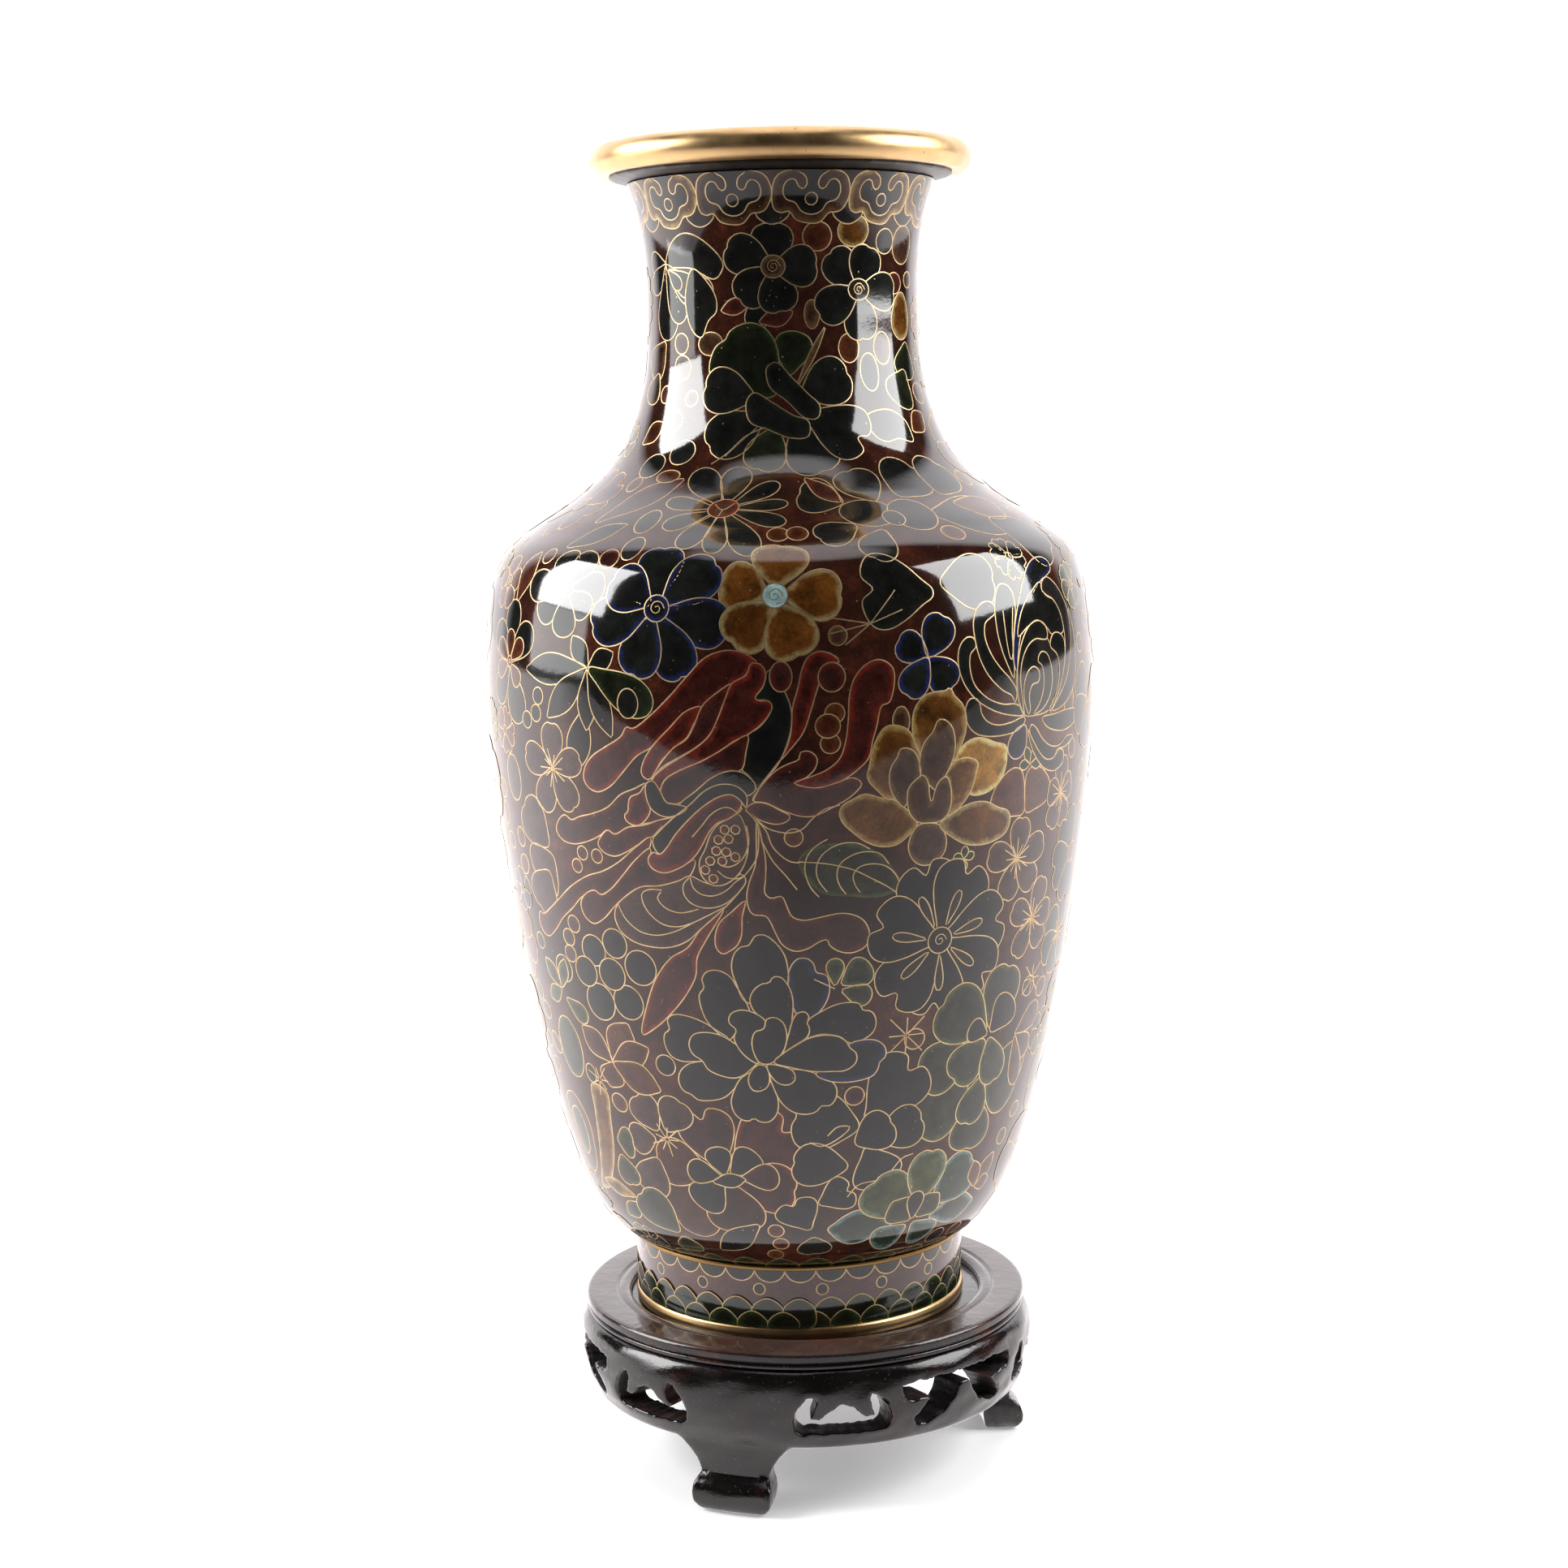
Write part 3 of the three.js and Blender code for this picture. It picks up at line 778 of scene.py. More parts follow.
    # long bands down to the left
    cell([(-26, 103), (-29.5, 100.4), (-33, 97.4), (-37, 95), (-41, 93.6), (-46, 90.8), (-50.5, 87.4),
          (-54.5, 84.6), (-57.2, 83.1), (-58.6, 83.5), (-59.6, 81), (-58.6, 79), (-56.6, 78.3), (-53.6, 80),
          (-50, 83.4), (-46.5, 86), (-43.6, 88.6), (-40.4, 90.4), (-38.4, 89.8), (-35.8, 91.2),
          (-32.5, 94.6), (-29.5, 98), (-26.4, 100.6)], "wine")
    cell([(-26.2, 100.6), (-29.5, 98), (-32.5, 94.6), (-35.8, 91.2), (-38.4, 89.8), (-39.6, 90.6),
          (-42.2, 89.6), (-43.9, 87.4), (-43.4, 84.8), (-41.2, 83.3), (-38.4, 84.6), (-35, 87.9),
          (-32, 90.4), (-28.8, 92.4), (-25, 92.9), (-21, 94.2), (-18.8, 95.3), (-17.6, 98.8), (-20.5, 97),
          (-23.8, 95.7), (-26.2, 96.8)], "wine")
    cell([(-26, 114), (-28.5, 112.8), (-31.5, 111.4), (-34.5, 108.6), (-38, 107), (-41.5, 106),
          (-43.8, 105.1), (-45.4, 106), (-47.6, 104.4), (-48.4, 102.4), (-47, 100.6), (-44, 100),
          (-40.5, 100.8), (-37, 102.4), (-35, 103.8), (-33.5, 103.1), (-30.5, 104.7), (-26.5, 105.8),
          (-22, 107), (-24.5, 108.2), (-26, 111)],
         "wine")
    cell([(-26.2, 113.8), (-27.5, 112), (-29.5, 111), (-30, 109.5), (-30.2, 108), (-31, 107.2),
          (-30.6, 105.9), (-28.5, 105.2), (-26.6, 106.6), (-25.6, 108.6), (-26.2, 111.5)], "red")
    cell([(-21, 107.2), (-24, 106.6), (-27, 105.4), (-30.5, 104.7), (-33.6, 103), (-35, 103.8),
          (-36.6, 102.4), (-37.6, 100.6), (-36.4, 99), (-34, 98.4), (-31.5, 99.4), (-29, 101),
          (-26.5, 102.6), (-25.3, 103.3), (-24, 104.8)], "wine")
    cell([(-18.5, 109.4), (-20.5, 107.8), (-23, 107.4), (-25.3, 108.8), (-26.2, 111.5), (-26, 114),
          (-24.7, 114.6), (-23.3, 112.4), (-22.4, 110.4), (-20.6, 110)], "ink")
    cell([(-8.1, 109.6), (-7.8, 112), (-9.6, 114), (-12.4, 114.3), (-15.2, 112.9), (-17.8, 110.2),
          (-20.8, 107.6), (-23.8, 104.6), (-25.6, 102.2), (-24.4, 99.5), (-23, 100.8), (-21, 103.8),
          (-18.5, 106.8), (-15.5, 109.8), (-12.6, 111.8), (-10.4, 112.2), (-8.8, 111)], "ink")
    cell([(-8.7, 110.6), (-10.4, 112.2), (-12.6, 111.8), (-15.5, 109.8), (-18.5, 106.8), (-21, 103.8),
          (-23, 100.8), (-24.4, 99.5), (-25.6, 99.9), (-26.8, 98.3), (-26.2, 96.6), (-23.8, 95.7),
          (-20.5, 97), (-17.8, 99.2), (-16, 102), (-14.8, 104.4), (-13.2, 106.4), (-11, 107.4),
          (-9.8, 108.4)], "red")
    draw([(-17.9, 103.4), (-16, 105.8), (-14, 108.4), (-11.6, 109.7), (-10.2, 109.2), (-9.4, 108.4),
          (-8.7, 109.6)])
    # crescents below, drawn as wires on one dark cell
    cell([(-34.6, 88), (-35.5, 85.6), (-34.6, 82.6), (-32, 80.6), (-28, 79.7), (-24, 79.9), (-20.4, 81.4),
          (-17.4, 84.2), (-12.4, 89.1), (-10, 92), (-8.5, 94.6), (-9.3, 96), (-13, 93.6), (-16, 94),
          (-18.8, 95.3), (-21, 94.2), (-25, 92.9), (-28.8, 92.4), (-32, 90.4)], "mauve")
    for line in (
        [(-34.4, 88.2), (-33, 85.2), (-30, 82.8), (-26.5, 82.3), (-23, 83.2), (-18, 85.9), (-12.6, 89)],
        [(-24.6, 92), (-27, 92), (-28.8, 91), (-28.6, 88.6), (-27, 86.2), (-24.5, 84.6), (-21.5, 84.5),
         (-18, 85.9)],
        [(-24.8, 91.6), (-25.6, 90.3), (-24.3, 88.4), (-21.5, 87.4), (-19, 87.9), (-17.6, 88.4)],
        [(-19, 94.9), (-20.2, 93.4), (-20.2, 91.3), (-19, 89.6), (-16.5, 88.7), (-14, 89), (-12, 90),
         (-10, 92)],
        [(-18.8, 95), (-18.3, 92.8), (-16.8, 91.5), (-14.5, 91.3), (-12, 92.6), (-10.3, 94.4), (-9, 95.3)],
    ):
        draw(line)
    # seed head
    cell([(-9.4, 108.4), (-11, 107.4), (-13, 106.2), (-14.6, 103.8), (-15.6, 101), (-16.8, 98.4),
          (-16.6, 95.6), (-15, 93.7), (-12.8, 93.6), (-10.6, 95), (-9, 97.2), (-8, 100.4), (-8, 104),
          (-8.6, 107)], "mauve")
    for seed in ((-11.9, 105.1), (-10, 105.1), (-13.1, 103), (-11.3, 103.2), (-13.6, 100.7), (-11.8, 100.5),
                 (-14.8, 98.6), (-12.6, 98.6), (-10.2, 99.5), (-15.8, 96.7), (-14.4, 94.9)):
        ellipse(seed, 0.95, 0.95, "rust")
    draw([(-8, 106), (-7.7, 103), (-8.2, 100.6), (-9.6, 98.4), (-11.6, 97.4), (-13, 97.8)])
    draw([(-8.1, 109.2), (-6.2, 106.5), (-6, 103), (-6.4, 99.5), (-8, 96.6), (-9.4, 95.2), (-12, 95.2),
          (-13.6, 96.6)])
    # lower petals and the wavy outline to the right
    cell([(-6.2, 107), (-5.4, 102.5), (-4.9, 99), (-5, 95), (-5.2, 92), (-4.2, 90.9), (-2.2, 91.3),
          (-1.4, 89.4), (-0.4, 87), (1.6, 86.2), (5, 86.8), (9, 87.4), (12.4, 86), (13.9, 83), (13.4, 80.4),
          (11, 79), (8.4, 79.3), (6.4, 80.8), (6, 82), (4.4, 81.5), (2.4, 80.2), (0, 79.7), (-2.2, 81),
          (-3.4, 83.4), (-4.4, 86), (-5.2, 87.2), (-7.6, 87.6), (-8.5, 90.5), (-8, 94), (-6.7, 98)], "wine")
    cell([(-8.8, 90.4), (-9.5, 87), (-9.8, 83), (-10.8, 80.8), (-12.3, 79.6), (-13.5, 79), (-14.6, 80),
          (-14.8, 82.5), (-13.8, 85.6), (-11.4, 88)], "red")
    cell([(-12.8, 88.6), (-17.2, 84.5), (-20.4, 80), (-24, 77.6), (-27.6, 73), (-30.4, 67), (-32.6, 60),
          (-29, 62), (-25.2, 65.4), (-21.8, 69.4), (-19.2, 74), (-18.6, 78), (-16.5, 82)], "red")
    draw([(-5.4, 102.6), (-3.6, 98.6), (-1.4, 95.6), (0.6, 92.6)])
    draw([(-7, 108), (-4.6, 104.8), (-3.6, 101.6), (-0.8, 98.6), (1, 98.2)])
    draw([(-6.8, 108), (-4.4, 105.4), (-1, 104.4), (1.5, 105), (3.5, 107.3), (5.5, 109), (8.2, 109.8)])
    cell([(-8, 109.3), (-6.5, 110.6), (-4.5, 110.4), (-2.5, 109.2), (-0.4, 107.7), (-1.2, 106.6),
          (-3, 106.2), (-5.5, 107), (-7, 108.2)], "wine")
    draw([(-6.8, 111), (-5.4, 114), (-3.2, 117.2), (-2, 119)], width=WIRE_WIDTH * 1.5)


def chrysanthemum_motif():
    """Hooked petals round one point, low on the right of the shoulder."""
    cell([(45.4, 125), (43.8, 128), (43.4, 132.5), (44.4, 137), (46.6, 140), (50, 140.2), (53, 140),
          (54, 138.4), (56, 136.6), (56.6, 133.6), (55.6, 129.4), (53, 125.4), (49, 124.6)], "smoke")
    cell([(43.5, 134), (44.2, 138), (45.6, 142.5), (47.6, 146.4), (50.4, 149.6), (53.6, 151.8),
          (56.6, 152.9), (58.6, 154), (58.8, 155.6), (57, 156.8), (54, 156.8), (51, 155.4), (48.4, 152.6),
          (45.6, 148), (43.9, 143.5), (43, 139), (42.9, 135.6)], "night")
    cell([(53.9, 125), (57, 125.4), (60, 126.8), (63, 130), (64, 136), (63.6, 142), (62.4, 145.6),
          (62.4, 140), (61.2, 135.6), (59.6, 131.6), (57, 128.4)], "ink")
    cell([(44.4, 141), (46, 146), (49.6, 149.6), (53.4, 151.6), (54, 149), (57.4, 147.2), (59.3, 141),
          (54.4, 140.8), (53.4, 142), (50.4, 143.9), (47, 142.6)], "ink")
    cell([(53.6, 125.4), (57, 128.4), (59.6, 131.6), (61.2, 135.6), (62.4, 140), (62, 145), (60.4, 148.6),
          (58.2, 151.4), (56, 152.5), (54, 151.6), (53.3, 150), (54.4, 148.9), (56.6, 147.8), (58.6, 145),
          (59.5, 141), (59.3, 136.5), (57.8, 132.4), (55.6, 128.6)], "smoke")
    cell([(53.4, 125.2), (56, 128.4), (58, 132.4), (59.2, 136.8), (59, 139.4), (57.6, 140.6), (55.6, 140.9),
          (54.2, 139.8), (53.8, 138.2), (54.8, 137.4), (56, 136.4), (56.6, 134), (56.2, 130.6),
          (54.6, 127.4), (52.6, 125.2)], "ink")
    cell([(45.2, 125.4), (43.9, 128), (43.5, 132), (44, 136), (45.4, 140), (47.6, 142.8), (50, 143.8),
          (52.2, 143.2), (53.2, 141.4), (52.8, 139.9), (51.4, 139.9), (49.4, 140.2), (47, 139),
          (45.2, 136.4), (44.4, 132.6), (44.8, 128.6)], "ink")
    cell([(48, 124.9), (50.6, 125.6), (53, 128), (54, 131.4), (53.6, 135), (52.4, 137), (50.8, 137.4),
          (49.8, 136.4), (49.7, 135.3), (50.6, 134.9), (51.2, 133), (51, 129.6), (49.6, 126.6)], "ink")
    cell([(46.6, 125), (45.4, 127.6), (45.3, 131), (46.4, 133.6), (48, 134.6), (49.4, 134), (49.9, 132.6),
          (49.2, 131.2), (48.2, 131.2), (47.2, 130.4), (46.7, 128.4), (47, 126)], "ink")
    cell([(45.4, 125.1), (41, 125.5), (37, 127), (33.4, 129.6), (31.1, 133), (30.2, 137), (30.8, 140.2),
          (32.5, 141.8), (33.9, 141.4), (34.1, 139.6), (33, 138.6), (32.6, 136), (33.5, 132.2),
          (36.4, 129.2), (40, 127.7), (43.2, 127.4), (45.2, 126)], "ink")
    cell([(42.9, 127.8), (42.2, 129.2), (39.8, 130.6), (36.8, 133.6), (35, 137), (34.1, 141), (34, 144.5),
          (35, 147.2), (37, 148.6), (38.9, 148.2), (39.3, 146.3), (38, 145.3), (36.7, 144.4), (36.3, 141.6),
          (37.4, 138.2), (39.4, 135.2), (42, 132.4), (43.4, 130)], "ink")
    cell([(42.7, 132.8), (41.6, 134.8), (40.1, 138.6), (39.2, 143.5), (39.6, 149), (41.6, 152), (44, 151),
          (44.5, 147), (43.4, 142), (42.9, 137.2), (42.9, 134.6)], "ink")
    draw([(41.2, 146.6), (41.3, 142), (41.8, 137.6), (42.3, 136.4), (42.8, 138), (43, 142), (43.8, 147)])
    cell([(45.4, 124.6), (42, 123.8), (38.6, 123.6), (36.2, 124.6), (34.9, 126.4), (34.6, 128.2),
          (33.8, 129.4), (32.4, 129.4), (31.5, 127.6), (31.7, 125), (33.4, 122.6), (36, 121.6), (40, 121.4),
          (43.5, 122), (45.6, 123.6)], "ink")
    cell([(45.8, 122.8), (46.2, 120.6), (46, 118), (44.8, 116.4), (43, 116.2), (41.5, 117.6), (41.4, 119.6),
          (42.6, 121.6), (44.4, 122.8)], "night")
    cell([(46.4, 122), (47.6, 118.4), (49.4, 115.6), (52.4, 113), (56, 112.2), (59, 113.6), (58.8, 116),
          (57, 116.5), (55.4, 115.1), (52.6, 115), (50, 117), (47.8, 119.8)], "smoke")
    cell([(46.9, 121.6), (48, 119.6), (50, 117), (52.6, 115), (55.4, 115.1), (56.4, 116.6), (59.4, 116.8),
          (63, 118.6), (60, 119), (57, 117.4), (54, 117.6), (51, 119.4), (48.6, 122.2), (47.4, 122.8)],
         "ink")
    cell([(50.6, 123.8), (52, 122), (55, 120.8), (59, 120.4), (63.5, 121.8), (64.5, 124), (60, 124.6),
          (55, 124.2)],
         "ink")


def lotus_motif():
    """The amber lotus right of the middle."""
    cell([(22.4, 119.6), (21.4, 122), (21, 125.4), (21.6, 128.6), (23.4, 130.8), (25.4, 131.4),
          (27.4, 131.5), (28.4, 132), (29.2, 130.4), (30.8, 128.6), (31.6, 126), (31.4, 122.4),
          (30.2, 119.4), (29.3, 117.4), (26, 117)], "bronze")
    cell([(29.4, 117.4), (30.8, 120), (33, 121.3), (35.4, 121.3), (38, 120.2), (40.8, 119.2), (41.2, 117),
          (40.8, 114), (39.4, 111.6), (36.6, 110), (33.5, 109.8), (31, 112)], "gold")
    cell([(17.2, 110.4), (14.6, 112.6), (13, 115), (13.4, 118), (14, 121), (15.2, 124), (16.4, 125.2),
          (18.4, 125.2), (20.4, 124), (21.6, 121.4), (22.4, 119.4), (22.6, 116.5), (21, 113)], "bronze")
    cell([(17.8, 110.3), (15, 111), (12.6, 111.8), (10.4, 110.8), (8.6, 109.6), (8.1, 108), (8.8, 106),
          (10.4, 104.2), (12.6, 102.2), (15.4, 100.9), (18.4, 101), (20.6, 102.6), (22.4, 104.8), (22, 106),
          (20, 108.4)], "bronze")
    cell([(26.8, 104.6), (28.6, 106), (31, 107.4), (34, 108.3), (37, 108), (39.6, 106.6), (42.4, 105.4),
          (43, 103.4), (42.2, 101.2), (40, 99.9), (36.5, 99.2), (32.5, 99.8), (29.2, 101.8), (27, 103.8)],
         "amber")
    cell([(19.8, 108.6), (17.6, 111.4), (16.9, 114.4), (17.3, 117.2), (18.4, 119), (18.8, 120.4),
          (20, 120.6), (21.6, 119.6), (22.5, 117), (22.7, 115), (21, 112), (20.4, 110)], "brown")
    cell([(22.7, 115.2), (22.6, 119), (23.4, 121.6), (25, 123.6), (26, 125.8), (27.4, 125.6), (28.8, 124),
          (29.4, 121), (29.2, 118.4), (28.4, 116), (27.4, 114), (26, 111.5), (24.6, 112.6)], "brown")
    cell([(27.6, 114.2), (28.8, 116.6), (30.8, 117.6), (33, 117.4), (34.4, 116.4), (34, 114), (33.4, 111.4),
          (32, 109), (30, 106.8), (28, 106.2), (28.8, 110), (28.3, 112.8)], "bronze")
    cell([(22.6, 105.3), (21, 107), (20.3, 110), (20.6, 112.6), (22, 114.2), (23.2, 114.9), (24.2, 113.4),
          (24.6, 110.4), (25, 109.2), (25.6, 111.6), (26.4, 113.4), (27.8, 114.2), (28.6, 112.6),
          (29, 109.4), (28.6, 107), (27, 105.2), (24.6, 105)], "brown")
    cell([(22.8, 104.8), (21.6, 103.4), (20.8, 101), (21.2, 98.6), (22.6, 96.8), (24.4, 96.2), (26.4, 96.8),
          (28, 98.4), (28.4, 101), (27.6, 103.2), (26.4, 104.6)], "brown")
    # veined leaf to its left
    cell([(0.8, 98.4), (3, 101.2), (6.5, 102), (10.5, 101.8), (14, 100.4), (17.4, 97.2), (19.7, 92.2),
          (16, 90.4), (10, 90.8), (4.6, 92)], "olive", wired=False)
    draw([(0.8, 98.4), (5, 98), (8, 97.3), (11, 96.2), (14, 94.4), (17, 92.5), (19.4, 90.6)])
    for line in (
        [(6, 102.9), (4, 101.6), (2.4, 99.4), (2, 96.4), (3, 93), (4.5, 91)],
        [(13.6, 100.5), (11.5, 101.8), (9, 102), (6.5, 101), (4.6, 99), (4, 96.4), (4.6, 94), (6, 92)],
        [(17.2, 97.2), (15.5, 99.4), (13, 100), (10.4, 99.4), (8.2, 97.6), (7.7, 95.2), (8.4, 92.8),
         (9.4, 91.4)],
        [(19.6, 92.4), (18.6, 94.8), (16.6, 96.8), (14, 97.4), (11.6, 96.8), (10.6, 95), (11.2, 92.8),
         (12, 91.6)],
    ):
        draw(line)


def dark_peony_motif():
    """The dark layered peony below the middle."""
    for outline, glaze in (
        ([(-9.8, 69), (-11.2, 72.5), (-12, 76), (-11.4, 79), (-10, 80.6), (-8.6, 80.9), (-8, 81.8),
          (-7.2, 83), (-5.6, 83.2), (-3.6, 81.6), (-2, 79), (-1.4, 76), (-1.5, 72.5), (-5, 68)], "ink"),
        ([(-9.6, 68.8), (-11, 71.6), (-12.6, 74.4), (-15, 75.5), (-17, 75), (-18, 73.4), (-17.7, 71.6),
          (-18.8, 70), (-18.6, 67), (-17.6, 64.2), (-15.8, 62), (-13.4, 60.4), (-12, 62), (-9, 66)], "ink"),
        ([(-13.4, 60.4), (-15.6, 62.2), (-18.4, 64), (-22, 65.2), (-24.8, 65.2), (-26.2, 64), (-26, 61.8),
          (-27.2, 60.8), (-27.5, 58.6), (-26.4, 56), (-24.2, 55), (-21.5, 55.1), (-19, 55.4), (-16, 57)],
         "ink"),
        ([(-11.4, 52), (-13.2, 49.4), (-15.4, 47.4), (-18.6, 46.5), (-21.4, 46.5), (-22.8, 47.6),
          (-24.4, 48.2), (-25.3, 50), (-24.8, 52.4), (-23, 54.2), (-21, 55), (-19.2, 55.3), (-17.6, 53.2),
          (-14, 51.9)], "ink"),
        ([(-12.6, 59.8), (-15, 61.3), (-18.4, 61.8), (-21, 61), (-22, 58.8), (-21.4, 56.8), (-19.4, 55.4),
          (-18.4, 53.6), (-16, 52.4), (-13, 51.9), (-11, 52.6), (-9.4, 54), (-8, 55.6), (-10, 58)], "ink"),
        ([(-11.6, 51.8), (-13.2, 49), (-14, 46.4), (-13.4, 43.8), (-11.8, 42.4), (-10.2, 42.3),
          (-9.4, 42.9), (-8, 42.1), (-6, 42.2), (-4.4, 44), (-4, 46.6), (-4.6, 49.4), (-6, 52),
          (-8.5, 53.5)], "ink"),
        ([(-5.4, 53), (-4.8, 49.8), (-3.4, 46.6), (-1, 44.4), (2, 43.8), (4, 44.4), (5, 45.6), (6.8, 45.6),
          (8.1, 47.4), (8, 49.8), (6.4, 51.6), (4, 52.9), (0, 54)], "ink"),
        ([(3.8, 52.8), (6.4, 51.2), (9.4, 50.7), (13, 50.9), (15.8, 51.8), (16.8, 53.4), (17, 54.6),
          (18.2, 55.8), (18, 57.8), (16.4, 59.4), (14, 59.9), (10.6, 59.2), (8, 56)], "night"),
        ([(2.4, 64.8), (4.6, 66.4), (7.6, 67.9), (10.4, 68.3), (12.4, 67.8), (13, 66.5), (14.8, 66),
          (15.8, 64), (15.4, 61.6), (13.4, 60), (10.6, 59.4), (8.6, 60.9), (5, 61.6), (2, 60.8), (0, 60),
          (1.4, 62)], "ink"),
        ([(-4.6, 55.6), (-1, 54.4), (3, 53.5), (7, 53.3), (10, 53.4), (12, 55), (12, 57), (10.6, 58.4),
          (10, 59.6), (8.4, 60.9), (5.4, 61.4), (2.4, 60.8), (0, 59.4), (-2.4, 57.8)], "ink"),
        ([(2, 64.8), (4.4, 66.4), (6, 69), (6.5, 72), (5.8, 74.4), (3.9, 75.1), (3.5, 76.8), (2.2, 78.1),
          (0.4, 78), (-1, 76), (-1.4, 73), (-0.8, 69), (0, 66.4)], "night"),
        ([(-6, 64.6), (-8.2, 67), (-8.8, 69.4), (-7.8, 71.6), (-6.2, 72.8), (-5, 73), (-4.2, 74.2),
          (-2.8, 74.2), (-1.4, 72.4), (-0.6, 69.6), (-0.7, 66), (-1.6, 61.6), (-3, 61.8), (-5, 62)], "ink"),
        ([(-5.9, 64.6), (-8.4, 66.6), (-11, 67), (-12.8, 66), (-13.2, 64.2), (-11.8, 62.6), (-12.4, 61),
          (-11.6, 58.6), (-9.8, 56.4), (-7.6, 55.3), (-7, 58), (-6, 62)], "ink"),
        ([(-1.6, 61.4), (-0.8, 64.4), (0.2, 66.3), (1.8, 66.6), (2.5, 65.4), (2.1, 64.2), (2.6, 63),
          (2.2, 61.2), (0, 59.6), (-2.8, 57.8), (-2.2, 59.5)], "ink"),
        ([(-7.6, 55.6), (-8.6, 57.8), (-8.8, 60.4), (-8, 62.4), (-6.6, 62.8), (-6.1, 63.6), (-5.8, 65),
          (-4.2, 65.5), (-2.6, 64.4), (-1.9, 62), (-2.2, 59.2), (-3.6, 56.6), (-5.4, 55.3), (-6.6, 55.2)],
         "ink"),
        ([(-7.8, 55), (-9.6, 53), (-10, 51), (-9.2, 49.3), (-7.8, 49.1), (-6.2, 50), (-5.6, 52),
          (-6.2, 54.6)], "ink"),
        ([(-6, 55), (-5.2, 52.4), (-3.6, 50.8), (-1.6, 50.6), (-0.4, 51.8), (-0.8, 53.6), (-2.6, 54.6)],
         "ink"),
    ):
        cell(outline, glaze)


def right_motifs():
    """Pale blossoms with starry hearts down the right side."""
    lobe((47, 104), (39.5, 47, 103, 113), "rust", "round")
    lobe((47, 104), (46, 53, 103, 113), "rust", "round")
    for tip in ((46, 118.4), (49.5, 118.2), (44.5, 114.6), (51, 114.4)):
        petal((47.6, 114.6), tip, 2.2, "moss", "point")
    for centre, tips in (
        ((45.8, 95), ((38, 96.5, 6.5), (43.5, 86.3, 6.5), (52, 88.2, 6.5), (54.2, 97.5, 6.5),
                      (46.5, 103.6, 6.5))),
        ((53, 81), ((46, 84, 6), (55.6, 89.6, 6), (48.6, 73.2, 6), (57.6, 74.6, 6), (60, 82, 6))),
        ((59, 107), ((59, 115, 6), (64, 109, 6), (62, 100, 6), (55.6, 100, 6), (54, 108, 6))),
    ):
        fan(centre, tips, "mauve", "notch")
        star(centre, 12, 4.4)
    for tip in ((30, 97.5), (34.8, 97.6), (32.5, 94), (32.6, 99.5)):
        petal((32.4, 96.7), tip, 1.9, "moss", "point")


def lower_motifs():
    """The blossom of seven hearts, the round flower and the grey-green one."""
    # blossom of seven hearts
    centre = (28.3, 80)
    for tip in ((24, 96.2), (34, 95.3), (43.3, 83), (41, 70), (28, 64.5), (18.5, 68), (14.8, 84.5)):
        petal(centre, tip, 13.8, "ink", "heart")
    for k in range(7):
        a = math.radians(16 + 360 / 7 * k)
        petal(spot(centre, polar(3.2, a)), spot(centre, polar(11, a)), 2, "smoke", "round")
    ellipse(centre, 2.8, 2.8, "ink")
    spiral(centre, 1.5)
    lobes((7.5, 71.4), "olive", "round", (5.5, 9.5, 72, 78.4), (9, 14.5, 71.8, 77), (9, 15, 68, 71.9))
    draw([(7.5, 71.4), (3.5, 73.6)], smooth=1)
    star((22.5, 60), 8, 5.4)
    star((56.5, 67), 8, 4.5)
    # round flower
    for az, s, r in ((-42.3, 77.3, 3.4), (-36.5, 79.5, 3.2), (-31, 74.8, 3.8), (-35, 66.8, 3.8),
                     (-42.5, 66, 4.1), (-45.4, 72.3, 3.3), (-52.8, 71.8, 3)):
        ellipse((az, s), r, r, "ink")
    ellipse((-38.2, 72.6), 3.5, 3.5, "smoke")
    berries("mauve", 1.9, (-49.2, 79.2), (-47, 82.4), (-49.5, 75.6))
    berries("rust", 1.5, (-41.8, 98.3), (-38.2, 98), (-43.6, 95.4))
    lobes((-50, 97), "mauve", "notch", (-58, -46, 91, 99.5), (-60, -51, 99, 107), (-60, -51, 84.5, 92))
    fan((-42, 52.5), ((-50, 59.5, 6), (-36, 62, 8), (-31.5, 57, 6), (-44, 46.5, 7), (-30, 47.5, 7)), "rust")
    ellipse((-56.5, 53.5), 4.6, 7, "olive")
    fan((-55, 67), ((-52, 74, 3.6), (-60, 73, 4), (-61, 64, 4)), "olive")
    petal((-54, 65), (-47.5, 61), 4.6, "olive")
    # grey-green flower on the right
    lobes((44, 50), "olive", "notch", (36, 50, 29.5, 42), (26, 39, 36.5, 47.5), (46, 57, 38, 55),
          (38, 46, 36.5, 47))
    lobes((43.6, 57), "olive", "notch", (40.5, 51, 59, 72), (29.5, 42, 57, 67.5), (26, 38, 46.8, 57),
          (34.2, 42.8, 47.5, 56), (43, 49, 45, 56))
    lobe((43.6, 57), (43.8, 50, 56.6, 65), "ink", "round")
    lobe((43.6, 57), (37.5, 43, 56, 60.6), "ink", "round")
    fan((53, 55), ((62, 60, 6), (60, 50, 6), (57, 43, 5)), "mauve", "round")


